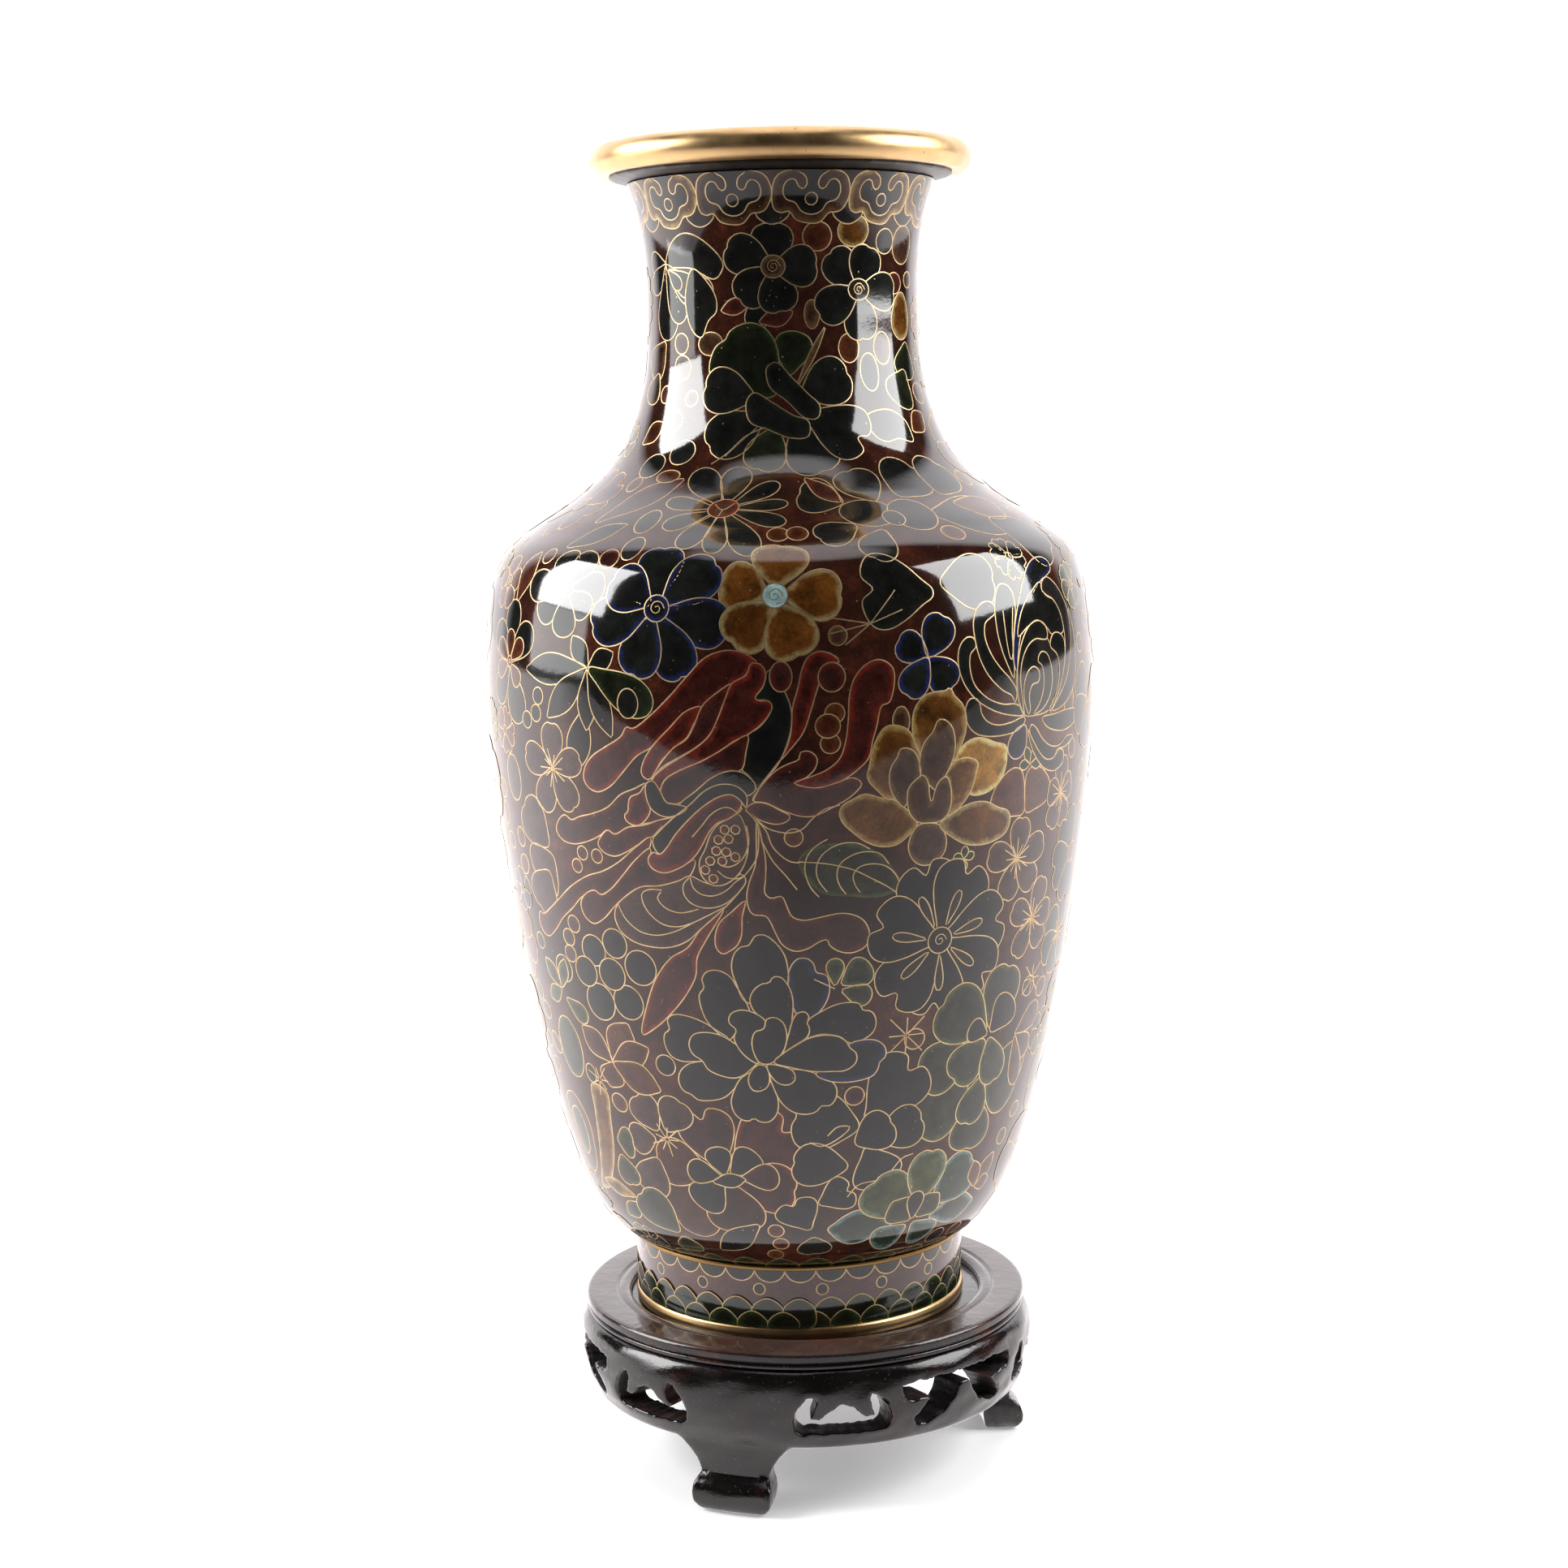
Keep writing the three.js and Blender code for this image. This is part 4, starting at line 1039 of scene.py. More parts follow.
def foot_motifs():
    """Flowers and leaves between the dark layered flower and the waist."""
    # red-brown peony
    for box, glaze, kind in (
        ((-34, -20, 14, 26.5), "rust", "notch"), ((-34.5, -22, 25, 36.5), "rust", "notch"),
        ((-26, -13.5, 31, 43.6), "wine", "heart"), ((-14.8, -0.8, 29.5, 42.4), "red", "heart"),
        ((-14, 0, 20.5, 32.5), "red", "notch"), ((-24, -8, 14.5, 27), "wine", "notch"),
        ((-26.5, -17, 20.8, 27), "ink", "round"), ((-26.5, -18.5, 26.5, 32.2), "ink", "round"),
        ((-21, -15, 29, 35.8), "ink", "round"), ((-15.2, -9, 29, 35.4), "ink", "round"),
        ((-13, -4, 25.5, 32.4), "wine", "round"),
    ):
        lobe((-17, 28.4), box, glaze, kind)
    petal((-20.5, 27.2), (-12.2, 28.4), 3.4, "smoke", "point")
    # dark hearts and leaves
    for centre, box, kind in (
        ((14, 40), (14, 26.5, 41.5, 54), "heart"), ((14, 40), (-0.5, 13.5, 34.8, 48.4), "notch"),
        ((15, 36), (18.6, 28, 34, 43.6), "notch"), ((15, 36), (12, 22.5, 26.6, 36), "heart"),
        ((12, 31), (-1.5, 12, 26.4, 37), "notch"), ((12, 36), (11.8, 20.6, 34, 42.4), "notch"),
        ((4, 22), (2.8, 12.2, 20, 27), "heart"), ((3, 15), (-3.8, 5.4, 14.2, 22.6), "heart"),
        ((3.5, 14), (-1.2, 8.8, 7.6, 15), "notch"),
    ):
        lobe(centre, box, "ink", kind)
    draw([(2.6, 37.2), (5, 36.2), (9, 38), (11.3, 40.4), (8.6, 40.6), (6.4, 38.6)])
    draw([(11.5, 23.6), (14, 26.4), (18, 27)])
    draw([(22, 29.2), (24.4, 31.8), (27, 32.4)])
    # bluish lotus low on the right
    for box, glaze, kind in (
        ((6.5, 24, 10, 20.6), "teal", "point"), ((36, 52.5, 11.6, 20), "teal", "point"),
        ((36, 47, 18, 29.4), "teal", "notch"), ((17, 27.5, 16.6, 28), "leaf", "notch"),
        ((26, 37, 20, 33.4), "leaf", "notch"), ((20, 28, 8, 15), "teal", "round"),
        ((30, 38, 8.4, 15.2), "teal", "round"), ((22.6, 30, 15, 21.4), "olive", "point"),
        ((31.6, 37, 15.6, 22), "olive", "point"), ((27.2, 32.6, 15.6, 23.4), "ink", "round"),
    ):
        lobe((30, 15), box, glaze, kind)
    fan((50, 20), ((55, 27.5, 4.6), (47, 27, 4), (56, 21, 4)), "rust")
    berries("rust", 1.7, (-5, 11.5), (-6, 15.3), (-6.8, 7.8))
    petal((-10, 17), (-22.5, 8.5), 6, "ink", "point")
    # stems and small flowers on the left
    lobes((-31.5, 36.3), "mauve", "notch", (-38.5, -31.5, 38.6, 45.8), (-31.6, -23.8, 39, 45.6),
          (-41.6, -34, 31.6, 39.4), (-41, -33, 21.6, 31))
    star((-30.5, 36.3), 9, 4)
    cell([(-51, 46), (-52, 40), (-54, 32), (-57, 25), (-60.5, 19.6), (-56.5, 20), (-51, 26), (-48.4, 31),
          (-46.8, 38), (-46, 45)], "amber")
    lobes((-46.6, 34), "olive", "notch", (-46.4, -40.4, 29.6, 38), (-49, -41.4, 22.6, 30))
    star((-47.5, 47.6), 7, 3.8)
    petal((-45, 20), (-57.6, 22), 4, "bronze", "point")
    petal((-44, 18.4), (-52, 14), 4.4, "olive", "point")
    lobe((-33, 12), (-43.4, -33.4, 12, 22.4), "olive", "notch")
    lobe((-33, 12), (-37, -28.4, 6, 14), "olive", "notch")
    cell([(-66, 40), (-61, 42), (-56.6, 37), (-57, 30), (-60, 24), (-64.6, 22.6)], "mauve")
    cell([(-64.6, 37), (-61, 38.6), (-59, 35), (-60, 29), (-63.4, 27)], "olive")


FILLER_GLAZES = ("ink", "ink", "wine", "rust", "moss", "night", "bronze", "mauve", "olive", "ink", "brown")
BOXES = []  # the cells' boxes, for free()
RING_STEP = 0.628  # a tenth of a turn


def free(here, reach):
    """True where a disc of that radius touches no cell."""
    ring = [(0.0, 0.0)]
    for k in range(10):
        ring += [polar(size, RING_STEP * k) for size in (reach, reach * 0.55)]
    ring = local(here, ring)
    for item in CELLS[len(BOXES):]:
        BOXES.append(item["box"] if item["wall"] is BODY else (0, -9, 0, -9))
    boxes = np.array(BOXES)
    for full_turn in (-360, 0, 360):
        part = ring + (full_turn, 0)
        low, high = part.min(0), part.max(0)
        hits = (boxes[:, :2] < high).all(1) & (boxes[:, 2:] > low).all(1)
        if any(inside(part, CELLS[number]["line"]).any() for number in np.nonzero(hits)[0]):
            return False
    return True


def filler(pitch, s_from=8, s_to=234):
    """Blossoms about pitch mm apart, wherever the wall is still bare."""
    s = s_from
    row = 0
    while s < s_to:
        step = math.degrees(pitch / float(BODY.radius(s)))
        az = -180 + (step / 2 if row % 2 else 0)
        while az < 180:
            here = (az + RNG.uniform(-0.12, 0.12) * step, s + RNG.uniform(-1.5, 1.5))
            glaze = RNG.choice(FILLER_GLAZES)
            count = RNG.choice((5, 6, 7))
            reach = pitch * RNG.uniform(0.46, 0.56)
            first = RNG.uniform(0, 6.28)
            kind = RNG.choice(("round", "notch", "heart"))
            if free(here, reach * 0.8):
                for k in range(count):
                    tip = spot(here, polar(reach, first + ROUND * k / count))
                    petal(here, tip, reach * 5.2 / count, glaze, kind)
                if pitch > 12 and RNG.random() < 0.35:
                    star(here, 9, reach * 0.42)
                else:
                    ellipse(here, reach * 0.22, reach * 0.22, RNG.choice(("rust", "ink", "brown")))
            az += step
        s += pitch * 0.88
        row += 1


def sprinkle(pitch, s_from=9.0, s_to=236):
    """Single berries and leaves in the last bare spots."""
    s = s_from
    while s < s_to:
        step = math.degrees(pitch / float(BODY.radius(s)))
        az = -180.0
        while az < 180:
            here = (az + RNG.uniform(-0.3, 0.3) * step, s + RNG.uniform(-1, 1))
            size = RNG.uniform(1.7, 2.4)
            if free(here, size * 1.15):
                ellipse(here, size, size * RNG.uniform(0.9, 1.3),
                        RNG.choice(("rust", "brown", "wine", "ink")), RNG.uniform(0, 180))
            az += step
        s += pitch * 0.8


for SHIFT, FLIP in ((0.0, 1.0), (180.0, -1.0)):  # the front, then its mirror image on the back
    for motifs in (shoulder_motifs, neck_motifs, upper_motifs, right_motifs, lotus_motif,
                   chrysanthemum_motif, lower_motifs, foot_motifs, dark_peony_motif, peony_motif):
        motifs()
SHIFT, FLIP = 0.0, 1.0
for pitch in (19, 10):  # large blossoms first, then small ones in what is still bare
    filler(pitch)
sprinkle(7)

# ---------------------------------------------------------------- borders
LAPPET_LINK = [
    (8.5, 241.5), (11, 240), (15, 239.3), (19, 240), (21.5, 241.5), (19, 243.4), (15, 244), (11, 243.4),
]
RUYI_OUTER = [
    (-13.6, 248.6), (-15, 245.5), (-14.5, 242.5), (-11.5, 241.6), (-8.5, 241.9), (-6.3, 240.3),
              (-1.5, 239.5),
    (3.5, 239.7), (7, 241.6), (9.5, 241.7), (12.5, 242.4), (15, 245.6), (13.4, 248.8), (9.6, 250.2),
              (-9.5, 250.2),
]
RUYI_INNER = [
    (-5.6, 250.2), (-2.6, 249), (-2, 247.4), (-3.4, 246.4), (-5.2, 247), (-6.2, 248.2), (-8.4, 248.4),
              (-10.4, 247.2),
    (-10.8, 245.6), (-9.6, 244.3), (-6.2, 243.6), (-4.2, 242), (0, 241.2), (4, 242), (6, 243.6),
              (9.6, 244.3),
    (11, 245.7), (10.4, 247.6), (8.2, 248.5), (6.2, 248), (5.2, 246.8), (3.4, 246.4), (2.2, 247.4),
              (3, 249),
    (6, 250.2),
]
LAPPETS = 12


def around(outline, az):
    """An outline with its azimuths moved by az."""
    return [(az + x, s) for x, s in outline]


for k in range(LAPPETS):
    cell(around(LAPPET_LINK, 11.5 + 30 * k), "smoke")
for k in range(LAPPETS):
    az = 11.5 + 30 * k
    cell(around(RUYI_OUTER, az), "bronze" if k % 4 in (1, 2) else "brown")
    cell(around(RUYI_INNER, az), "ink")
    ellipse((az - 0.2, 244.4), 1.3, 1.3, "smoke")


SCALES = 34


def scale_row(first, base, sides, shoulder, top, slope, wall, smooth):
    """A row of scales: each rises from its base past two shoulders to a round top."""
    half = 180 / SCALES
    for k in range(SCALES):
        az = first + 360 / SCALES * k
        cell([(az - half, base), (az - half, sides), (az - half * slope, shoulder), (az, top),
              (az + half * slope, shoulder), (az + half, sides), (az + half, base)], "scale", smooth, wall)


scale_row(5, 0.3, 2.2, 5, 6, 0.5, BODY, CELL_SMOOTH)
SCALLOPS = 35
width = 360 / SCALLOPS
for k in range(SCALLOPS):
    az = 5.2 + 360 / SCALLOPS * k
    cell([(az + 0.02, 50.68), (az + width * 0.12, 49.1), (az + width * 0.3, 48.3),
          (az + width * 0.5, 48.05), (az + width * 0.7, 48.3), (az + width * 0.88, 49.1),
          (az + width - 0.02, 50.68)], "smoke", 4, FOOT)
FOOT_RINGS = 17
for k in range(FOOT_RINGS):
    ellipse((7.3 + 360 / FOOT_RINGS * k, 46.4), 1.3, 1.3, "smoke", 0, FOOT)
for top, first in ((44.5, 10), (41.5, 4.7)):
    scale_row(first, max(top - 6, 37.95), top - 2.4, top - 0.7, top, 0.55, FOOT, 4)


# ---------------------------------------------------------------- building the enamel
CELL_STEP = 1.15  # mm between the inner points of a cell
ROW_SHARE = 0.87  # rows of points, as a share of that
EDGE_SHARE = 0.38  # how close inner points come to the edge
LAYER_STEP = 0.012
FIRST_LIFT = 0.016
TINY = 1e-12


def lift_of(layer):
    return FIRST_LIFT + LAYER_STEP * layer


def gaps(points, starts, ways):
    """Distances from points to the nearest of the segments that begin at starts."""
    size2 = np.maximum((ways ** 2).sum(1), TINY)
    t = np.clip(((points[:, None] - starts[None]) * ways[None]).sum(-1) / size2, 0, 1)
    foot = starts[None] + t[..., None] * ways[None]
    return np.sqrt(((points[:, None] - foot) ** 2).sum(-1)).min(1)


def fill_cell(item):
    """Triangles for one cell: azimuth and arc length points, faces and the distance to its edge."""
    wall = item["wall"]
    s_mid = float(np.clip(item["line"][:, 1].mean(), wall.low, wall.high))
    scale = np.array([math.radians(1) * float(wall.radius(s_mid)), 1.0])
    line = item["line"] * scale
    line = line[np.hypot(*(line - np.roll(line, 1, 0)).T) > 0.02]
    n = len(line)
    low, high = line.min(0), line.max(0)
    grid = [np.zeros((0, 2))]
    for i, y in enumerate(np.arange(low[1] + CELL_STEP * 0.5, high[1], CELL_STEP * ROW_SHARE)):
        xs = np.arange(low[0] + (0.5 if i % 2 else 0.0) * CELL_STEP, high[0], CELL_STEP)
        grid.append(np.stack([xs, np.full(len(xs), y)], -1))
    grid = np.vstack(grid)
    gap = np.zeros(0)
    if len(grid):
        grid = grid[inside(grid, line)]
    if len(grid):
        gap = gaps(grid, line, np.roll(line, -1, 0) - line)
        grid, gap = grid[gap > CELL_STEP * EDGE_SHARE], gap[gap > CELL_STEP * EDGE_SHARE]
    made, _, faces, source, *_ = delaunay_2d_cdt([Vector(p) for p in np.vstack([line, grid])], [],
                                                 [list(range(n))], 1, 1e-5)
    edge = np.zeros(len(made))
    for i, src in enumerate(source):
        if src and src[0] >= n:
            edge[i] = gap[src[0] - n]
    return np.array([tuple(v) for v in made]) / scale, faces, edge


def by_zone(items):
    """Sorts cells or wires into the pieces they are built in."""
    groups = {}
    for item in items:
        groups.setdefault(zone_of(item["line"], item["wall"]), []).append(item)
    return groups.items()


def build_cells():
    """One piece per zone; each point carries its glaze, its rim colour and its distance to the edge."""
    for zone, items in by_zone(CELLS):
        verts, normals, faces, fills, rims, edges = [], [], [], [], [], []
        count = 0
        for item in items:
            points, tris, edge = fill_cell(item)
            place, normal = item["wall"].place(points[:, 0], points[:, 1], lift_of(item["layer"]))
            verts.append(place)
            normals.append(normal)
            for tri in tris:
                a, b, c = (place[i] for i in tri[:3])
                out = np.dot(np.cross(b - a, c - a), normal[tri[0]]) > 0
                ring = tri if out else tri[::-1]
                faces.append([i + count for i in ring])
            count += len(place)
            fill, rim, strength = GLAZES[item["glaze"]]
            fills.append(np.tile([*(np.array(srgb(*fill)) * item["tint"]), 1.0], (len(place), 1)))
            rims.append(np.tile([*srgb(*rim), strength], (len(place), 1)))
            edges.append(edge)
        obj = make_piece("cells_" + zone, np.vstack(verts), faces, "vase", M_CELLS,
                         np.vstack(normals))
        for name, values in (("fill", fills), ("rim", rims)):
            layer = obj.data.attributes.new(name, "FLOAT_COLOR", "POINT")
            layer.data.foreach_set("color", np.vstack(values).ravel())
        obj.data.attributes.new("edge", "FLOAT", "POINT").data.foreach_set("value", np.concatenate(edges))


def zone_of(line, wall):
    if wall is FOOT:
        return "foot"
    az, s = line.mean(0)
    side = "front" if abs((az + 180) % 360 - 180) < 90 else "back"
    for low, name in ((232, "collar"), (178, "neck"), (105, "upper"), (-99, "lower")):
        if s > low:
            return f"{name}_{side}"


WIRE_STEP = 0.75  # mm between the rows of a ribbon
WIRE_CREST = 0.008  # the ribbon's middle above its cell, and its edges below it
WIRE_SINK = 0.006
SHORTEST_WIRE = 0.3


def mm_per_degree(wall, s):
    return math.radians(1) * wall.radius(np.clip(s, wall.low, wall.high))


def build_wires():
    """Ribbons with a low crest along every wire, one piece per zone."""
    across = (-0.5, -0.3, 0.3, 0.5)
    rise = (-WIRE_SINK, WIRE_CREST, WIRE_CREST, -WIRE_SINK)
    for zone, items in by_zone(WIRES):
        verts, faces = [], []
        count = 0
        for item in items:
            wall = item["wall"]
            line = item["line"]
            scale = mm_per_degree(wall, line[:, 1])
            if item["closed"]:
                line = np.vstack([line, line[:1]])
                scale = np.append(scale, scale[0])
            step = np.hypot(np.diff(line[:, 0]) * scale[:-1], np.diff(line[:, 1]))
            run = np.concatenate([[0], np.cumsum(step)])
            if run[-1] < SHORTEST_WIRE:
                continue
            parts = max(int(run[-1] / WIRE_STEP), 3)
            at = np.linspace(0, run[-1], parts + 1)
            if item["closed"]:
                at = at[:-1]
            mid = np.stack([np.interp(at, run, line[:, 0]), np.interp(at, run, line[:, 1])], -1)
            k = mm_per_degree(wall, mid[:, 1])
            if item["closed"]:
                way = np.roll(mid, -1, 0) - np.roll(mid, 1, 0)
            else:
                way = np.gradient(mid, axis=0)
            way = np.stack([way[:, 0] * k, way[:, 1]], -1)
            way /= np.maximum(np.hypot(*way.T), 1e-9)[:, None]
            side = np.stack([-way[:, 1], way[:, 0]], -1) * item["width"]
            lift = lift_of(item["layer"])
            columns = []
            for a, h in zip(across, rise):
                p = mid + np.stack([side[:, 0] * a / k, side[:, 1] * a], -1)
                columns.append(wall.place(p[:, 0], p[:, 1], lift + h)[0])
            ribbon = np.stack(columns, 1)
            verts.append(ribbon.reshape(-1, 3))
            m = len(mid)
            for i in range(m if item["closed"] else m - 1):
                j = (i + 1) % m
                for c in range(3):
                    a, b = count + i * 4 + c, count + j * 4 + c
                    faces.append((a, b, b + 1, a + 1))
            count += m * 4
        make_piece("wires_" + zone, np.vstack(verts), faces, "vase", M_WIRE)


def skin(name, wall, material, replaces, rows):
    """The enamel ground: a turned shell with smooth rows."""
    s = np.linspace(wall.low, wall.high, rows)
    section = np.vstack([wall.section(s, 0.0), wall.section(s, -ENAMEL * 0.9)[::-1]])
    lathe(name, section, "vase", material, 300, replaces, sharp=50)


skin("enamel_ground", BODY, M_GROUND, ("body_enamel", "neck_enamel"), 260)
skin("enamel_foot_ground", FOOT, M_FOOT_GROUND, ("foot_enamel",), 14)
build_cells()
build_wires()

# ---------------------------------------------------------------- turned metal and linings
RIM_R, RIM_TUBE, RIM_Z, RIM_FLAT = 37.4, 3.5, 285.5, 282.6
rim = []
for a in np.radians(-56 + 292 * np.arange(41) / 40):
    rim.append((RIM_R + RIM_TUBE * math.cos(a), max(RIM_Z + RIM_TUBE * math.sin(a), RIM_FLAT)))
lathe("mouth_lip", rim, "vase", M_RIM, 220, ("mouth_rim",))
WAIST = [(36.1, 50.7), (37.4, 50.75), (37.5, 51.2), (37.4, 51.65), (36.1, 51.7)]
# the waist line takes the darker gilt, which paints the shade under the body's flare
lathe("waist_line", rounded(WAIST, 0.15), "vase", M_LINE_SHADED, 180, ("waist_wire",))
FOOT_RING = [(35.5, 35.0), (36.5, 35.0), (36.9, 35.6), (37.0, 36.5), (36.8, 37.5), (36.4, 37.9),
             (35.5, 37.9)]
lathe("foot_ring", rounded(FOOT_RING, 0.3), "vase", M_BAND, 200, ("foot_band",))

BODY_LINING_DEPTH, THROAT_LINING_DEPTH = 2.2, 1.85  # mm inside the vase's outer face
lining = np.vstack([[(0.4, 53.2)], BODY.section(np.linspace(3, 181, 90), -BODY_LINING_DEPTH)])
lining_back = [(max(r - 0.3, 0.2), z + (0.3 if r < 36 else 0.0)) for r, z in lining[::-1]]
lathe("body_lining", np.vstack([lining, lining_back]), "vase", M_COUNTER, 120)
throat = BODY.section(np.linspace(182, 250.2, 60), -THROAT_LINING_DEPTH)
lathe("throat_lining", np.vstack([throat, throat[::-1] - (0.35, 0)]), "vase", M_COUNTER,
      160, ("neck_lining",))

# the neck core gets the near-black metal, which paints the shade under the lip
for node, material in (("body_core_upper", M_COPPER), ("body_core_lower", M_COPPER),
                       ("foot_core", M_COPPER), ("neck_core", M_UNDER_LIP_SHADE), ("base_enamel", M_COUNTER)):
    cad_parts[node].data.materials.clear()
    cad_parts[node].data.materials.append(material)

# ---------------------------------------------------------------- the stand
STAND_X = 1.2
RING = [
    (42.4, 32.9), (48.8, 32.9), (49.2, 33.2), (49.2, 33.9), (48.6, 34.2), (48.6, 34.5), (49.4, 34.7),
        (49.4, 36),
    (49.1, 36.5), (48.5, 36.7), (42.8, 36.7), (42.3, 36.3), (41.8, 36.6), (40.9, 36.8), (39.9, 36.5),
        (39.4, 35.9),
    (39.4, 33.4), (42.4, 33.4),
]
lathe("stand_ring", rounded(RING, 0.35), "stand", M_WOOD_DUSTY, 220, ("top_ring",),
      STAND_X, wobble=0.05)
PANEL = [(0.3, 30.4), (42.4, 30.4), (42.4, 33.4), (39.4, 33.4), (39.4, 35.0), (0.3, 35.0)]
lathe("stand_panel", rounded(PANEL, 0.25, 3), "stand", M_WOOD_TOP, 160, ("seat_panel",),
      STAND_X)

APRON_OUT = [
    (0, 47.4), (0.7, 48.6), (2.2, 49.4), (4, 49.5), (5.8, 49.0), (7.1, 47.7), (7.8, 46.4), (10.5, 46.6),
             (13.5, 47.3),
    (15.4, 47.8), (15.9, 48.2), (19, 49.6), (23, 50.6), (26.4, 51), (28.5, 50.9), (31, 50.3), (32.3, 49.5),
    (32.9, 48.8),
]
APRON_IN = [(0, 41.6), (1, 40.6), (4, 40.2), (7.6, 40.6), (12, 41.2), (15.2, 42.7), (19, 43), (26, 42.6),
            (32.9, 42.6)]
APRON_R = 48.0  # radius at which the apron is laid out flat
APRON_LOW, APRON_HIGH = 15.2, 32.9
FRONT_FOOT = -20.4
SEAM_FROM_FOOT = 81.8
SEAM_HALF = 0.02
THIRD = 120
FOOT_OUTLINE = [
    (6.4, 0), (7.6, 0.6), (8.6, 2), (8.9, 4), (8.8, 6), (8.3, 7.4), (8.2, 8.4), (8.9, 10.2), (10.3, 12.4),
    (12.3, 14.6), (13.4, 15.2),
]
BRACKET = [(8.4, 19), (9.8, 19.9), (10.4, 21.6), (9.4, 25), (7.2, 27.2), (5.8, 27.5), (5.3, 26.4),
           (6.6, 22.6), (4.8, 22.4), (1.8, 24.9), (0.4, 25.6)]
WING = [(1, 26.3), (2.8, 23.3), (4.9, 20.8), (9.4, 18.7), (11.6, 18.7), (12.4, 20.2), (8.4, 24.6),
        (13.6, 25), (15.1, 26.1), (15.4, 28.3), (8, 28.7)]
PIERCINGS = [(-23.1, BRACKET), (28.9, BRACKET), (62.2, WING)]
EDGE_ROUND = 0.7
OUTLINE_STEP, PIERCING_STEP, CARVED_ROUGH = 0.6, 0.5, 0.12
EDGE_ROWS = (0.18, 0.45, 0.8)  # rows of points beside every edge, mm away from it
GRID_STEP, GRID_ROW_STEP, GRID_GAP = 1.1, 0.95, 1.15
WALL_PARTS = 3  # strips between the front and the back of the apron
JOG_FROM, JOG_TO = 16.5, 31.5  # heights between which the walls of the piercings are rough


def half_pair(half):
    """A closed outline from its right half, which runs from the bottom middle to the top middle."""
    return [*half, *[(-x, z) for x, z in reversed(half)]]


def normals_of(line):
    """Unit vectors square to a closed line."""
    run = np.roll(line, -1, 0) - np.roll(line, 1, 0)
    side = np.stack([-run[:, 1], run[:, 0]], -1)
    return side / np.maximum(np.hypot(*side.T), 1e-9)[:, None]


def resample(points, step, rough=0.0, seed=0):
    """Even points along a closed outline, with a carver's unevenness."""
    p = np.array(points, float)
    p = np.vstack([p, p[:1]])
    run = np.concatenate([[0], np.cumsum(np.hypot(*np.diff(p, axis=0).T))])
    count = max(int(run[-1] / step), 12)
    at = np.linspace(0, run[-1], count, endpoint=False)
    out = np.stack([np.interp(at, run, p[:, 0]), np.interp(at, run, p[:, 1])], -1)
    if rough:
        wob = np.random.default_rng(seed).normal(0, rough, out.shape)
        out = out + (wob + np.roll(wob, 1, 0) + np.roll(wob, -1, 0)) / 1.7
    return out


def apron_loops(index, mm):
    """The outline of one third of the apron with its foot, then its piercings, laid out flat."""
    left = (SEAM_FROM_FOOT - THIRD) * mm + SEAM_HALF
    right = SEAM_FROM_FOOT * mm - SEAM_HALF
    outer = [(left, APRON_HIGH), (left, APRON_LOW), *[(-x, z) for x, z in reversed(FOOT_OUTLINE)],
             *FOOT_OUTLINE, (right, APRON_LOW), (right, APRON_HIGH)]
    loops = [resample(outer, OUTLINE_STEP)]
    for k, (az, half) in enumerate(PIERCINGS):
        shape = np.array(half_pair(half)) + np.array([az * mm, 0])
        while shape[:, 0].mean() > right:
            shape[:, 0] -= THIRD * mm
        loops.append(resample(shape, PIERCING_STEP, CARVED_ROUGH, 7 * index + k))
    return left, right, loops


def apron_mesh(left, right, loops):
    """Flat points and triangles of the pierced shape, and each point's distance to the nearest edge."""
    fixed = np.vstack(loops)
    edges = []
    for p in loops:
        start = len(edges)
        edges += [(start + i, start + (i + 1) % len(p)) for i in range(len(p))]
    a, b = (fixed[[e[end] for e in edges]] for end in (0, 1))

    def solid(points):
        ok = inside(points, loops[0])
        for p in loops[1:]:
            ok &= ~inside(points, p)
        return ok

    free_points = []
    for away in EDGE_ROWS:
        for p in loops:
            for sign in (1, -1):
                q = p + normals_of(p) * sign * away
                q = q[solid(q)]
                free_points.append(q[gaps(q, a, b - a) > away * 0.93])
    grid = []
    for i, z in enumerate(np.arange(0.5, APRON_HIGH, GRID_ROW_STEP)):
        xs = np.arange(left + 0.5 * (i % 2), right, GRID_STEP)
        grid.append(np.stack([xs, np.full(len(xs), z)], -1))
    grid = np.vstack(grid)
    grid = grid[solid(grid)]
    free_points.append(grid[gaps(grid, a, b - a) > GRID_GAP])
    made, _, tris, *_ = delaunay_2d_cdt([Vector(p) for p in np.vstack([fixed, *free_points])], edges, [], 0,
                                        1e-5)
    flat_v = np.array([tuple(v) for v in made])
    tris = [t for t in tris if solid(flat_v[list(t)].mean(0)[None])[0]]
    used = sorted({i for t in tris for i in t})
    index_of = {v: i for i, v in enumerate(used)}
    flat_v = flat_v[used]
    return flat_v, [[index_of[i] for i in t] for t in tris], gaps(flat_v, a, b - a)


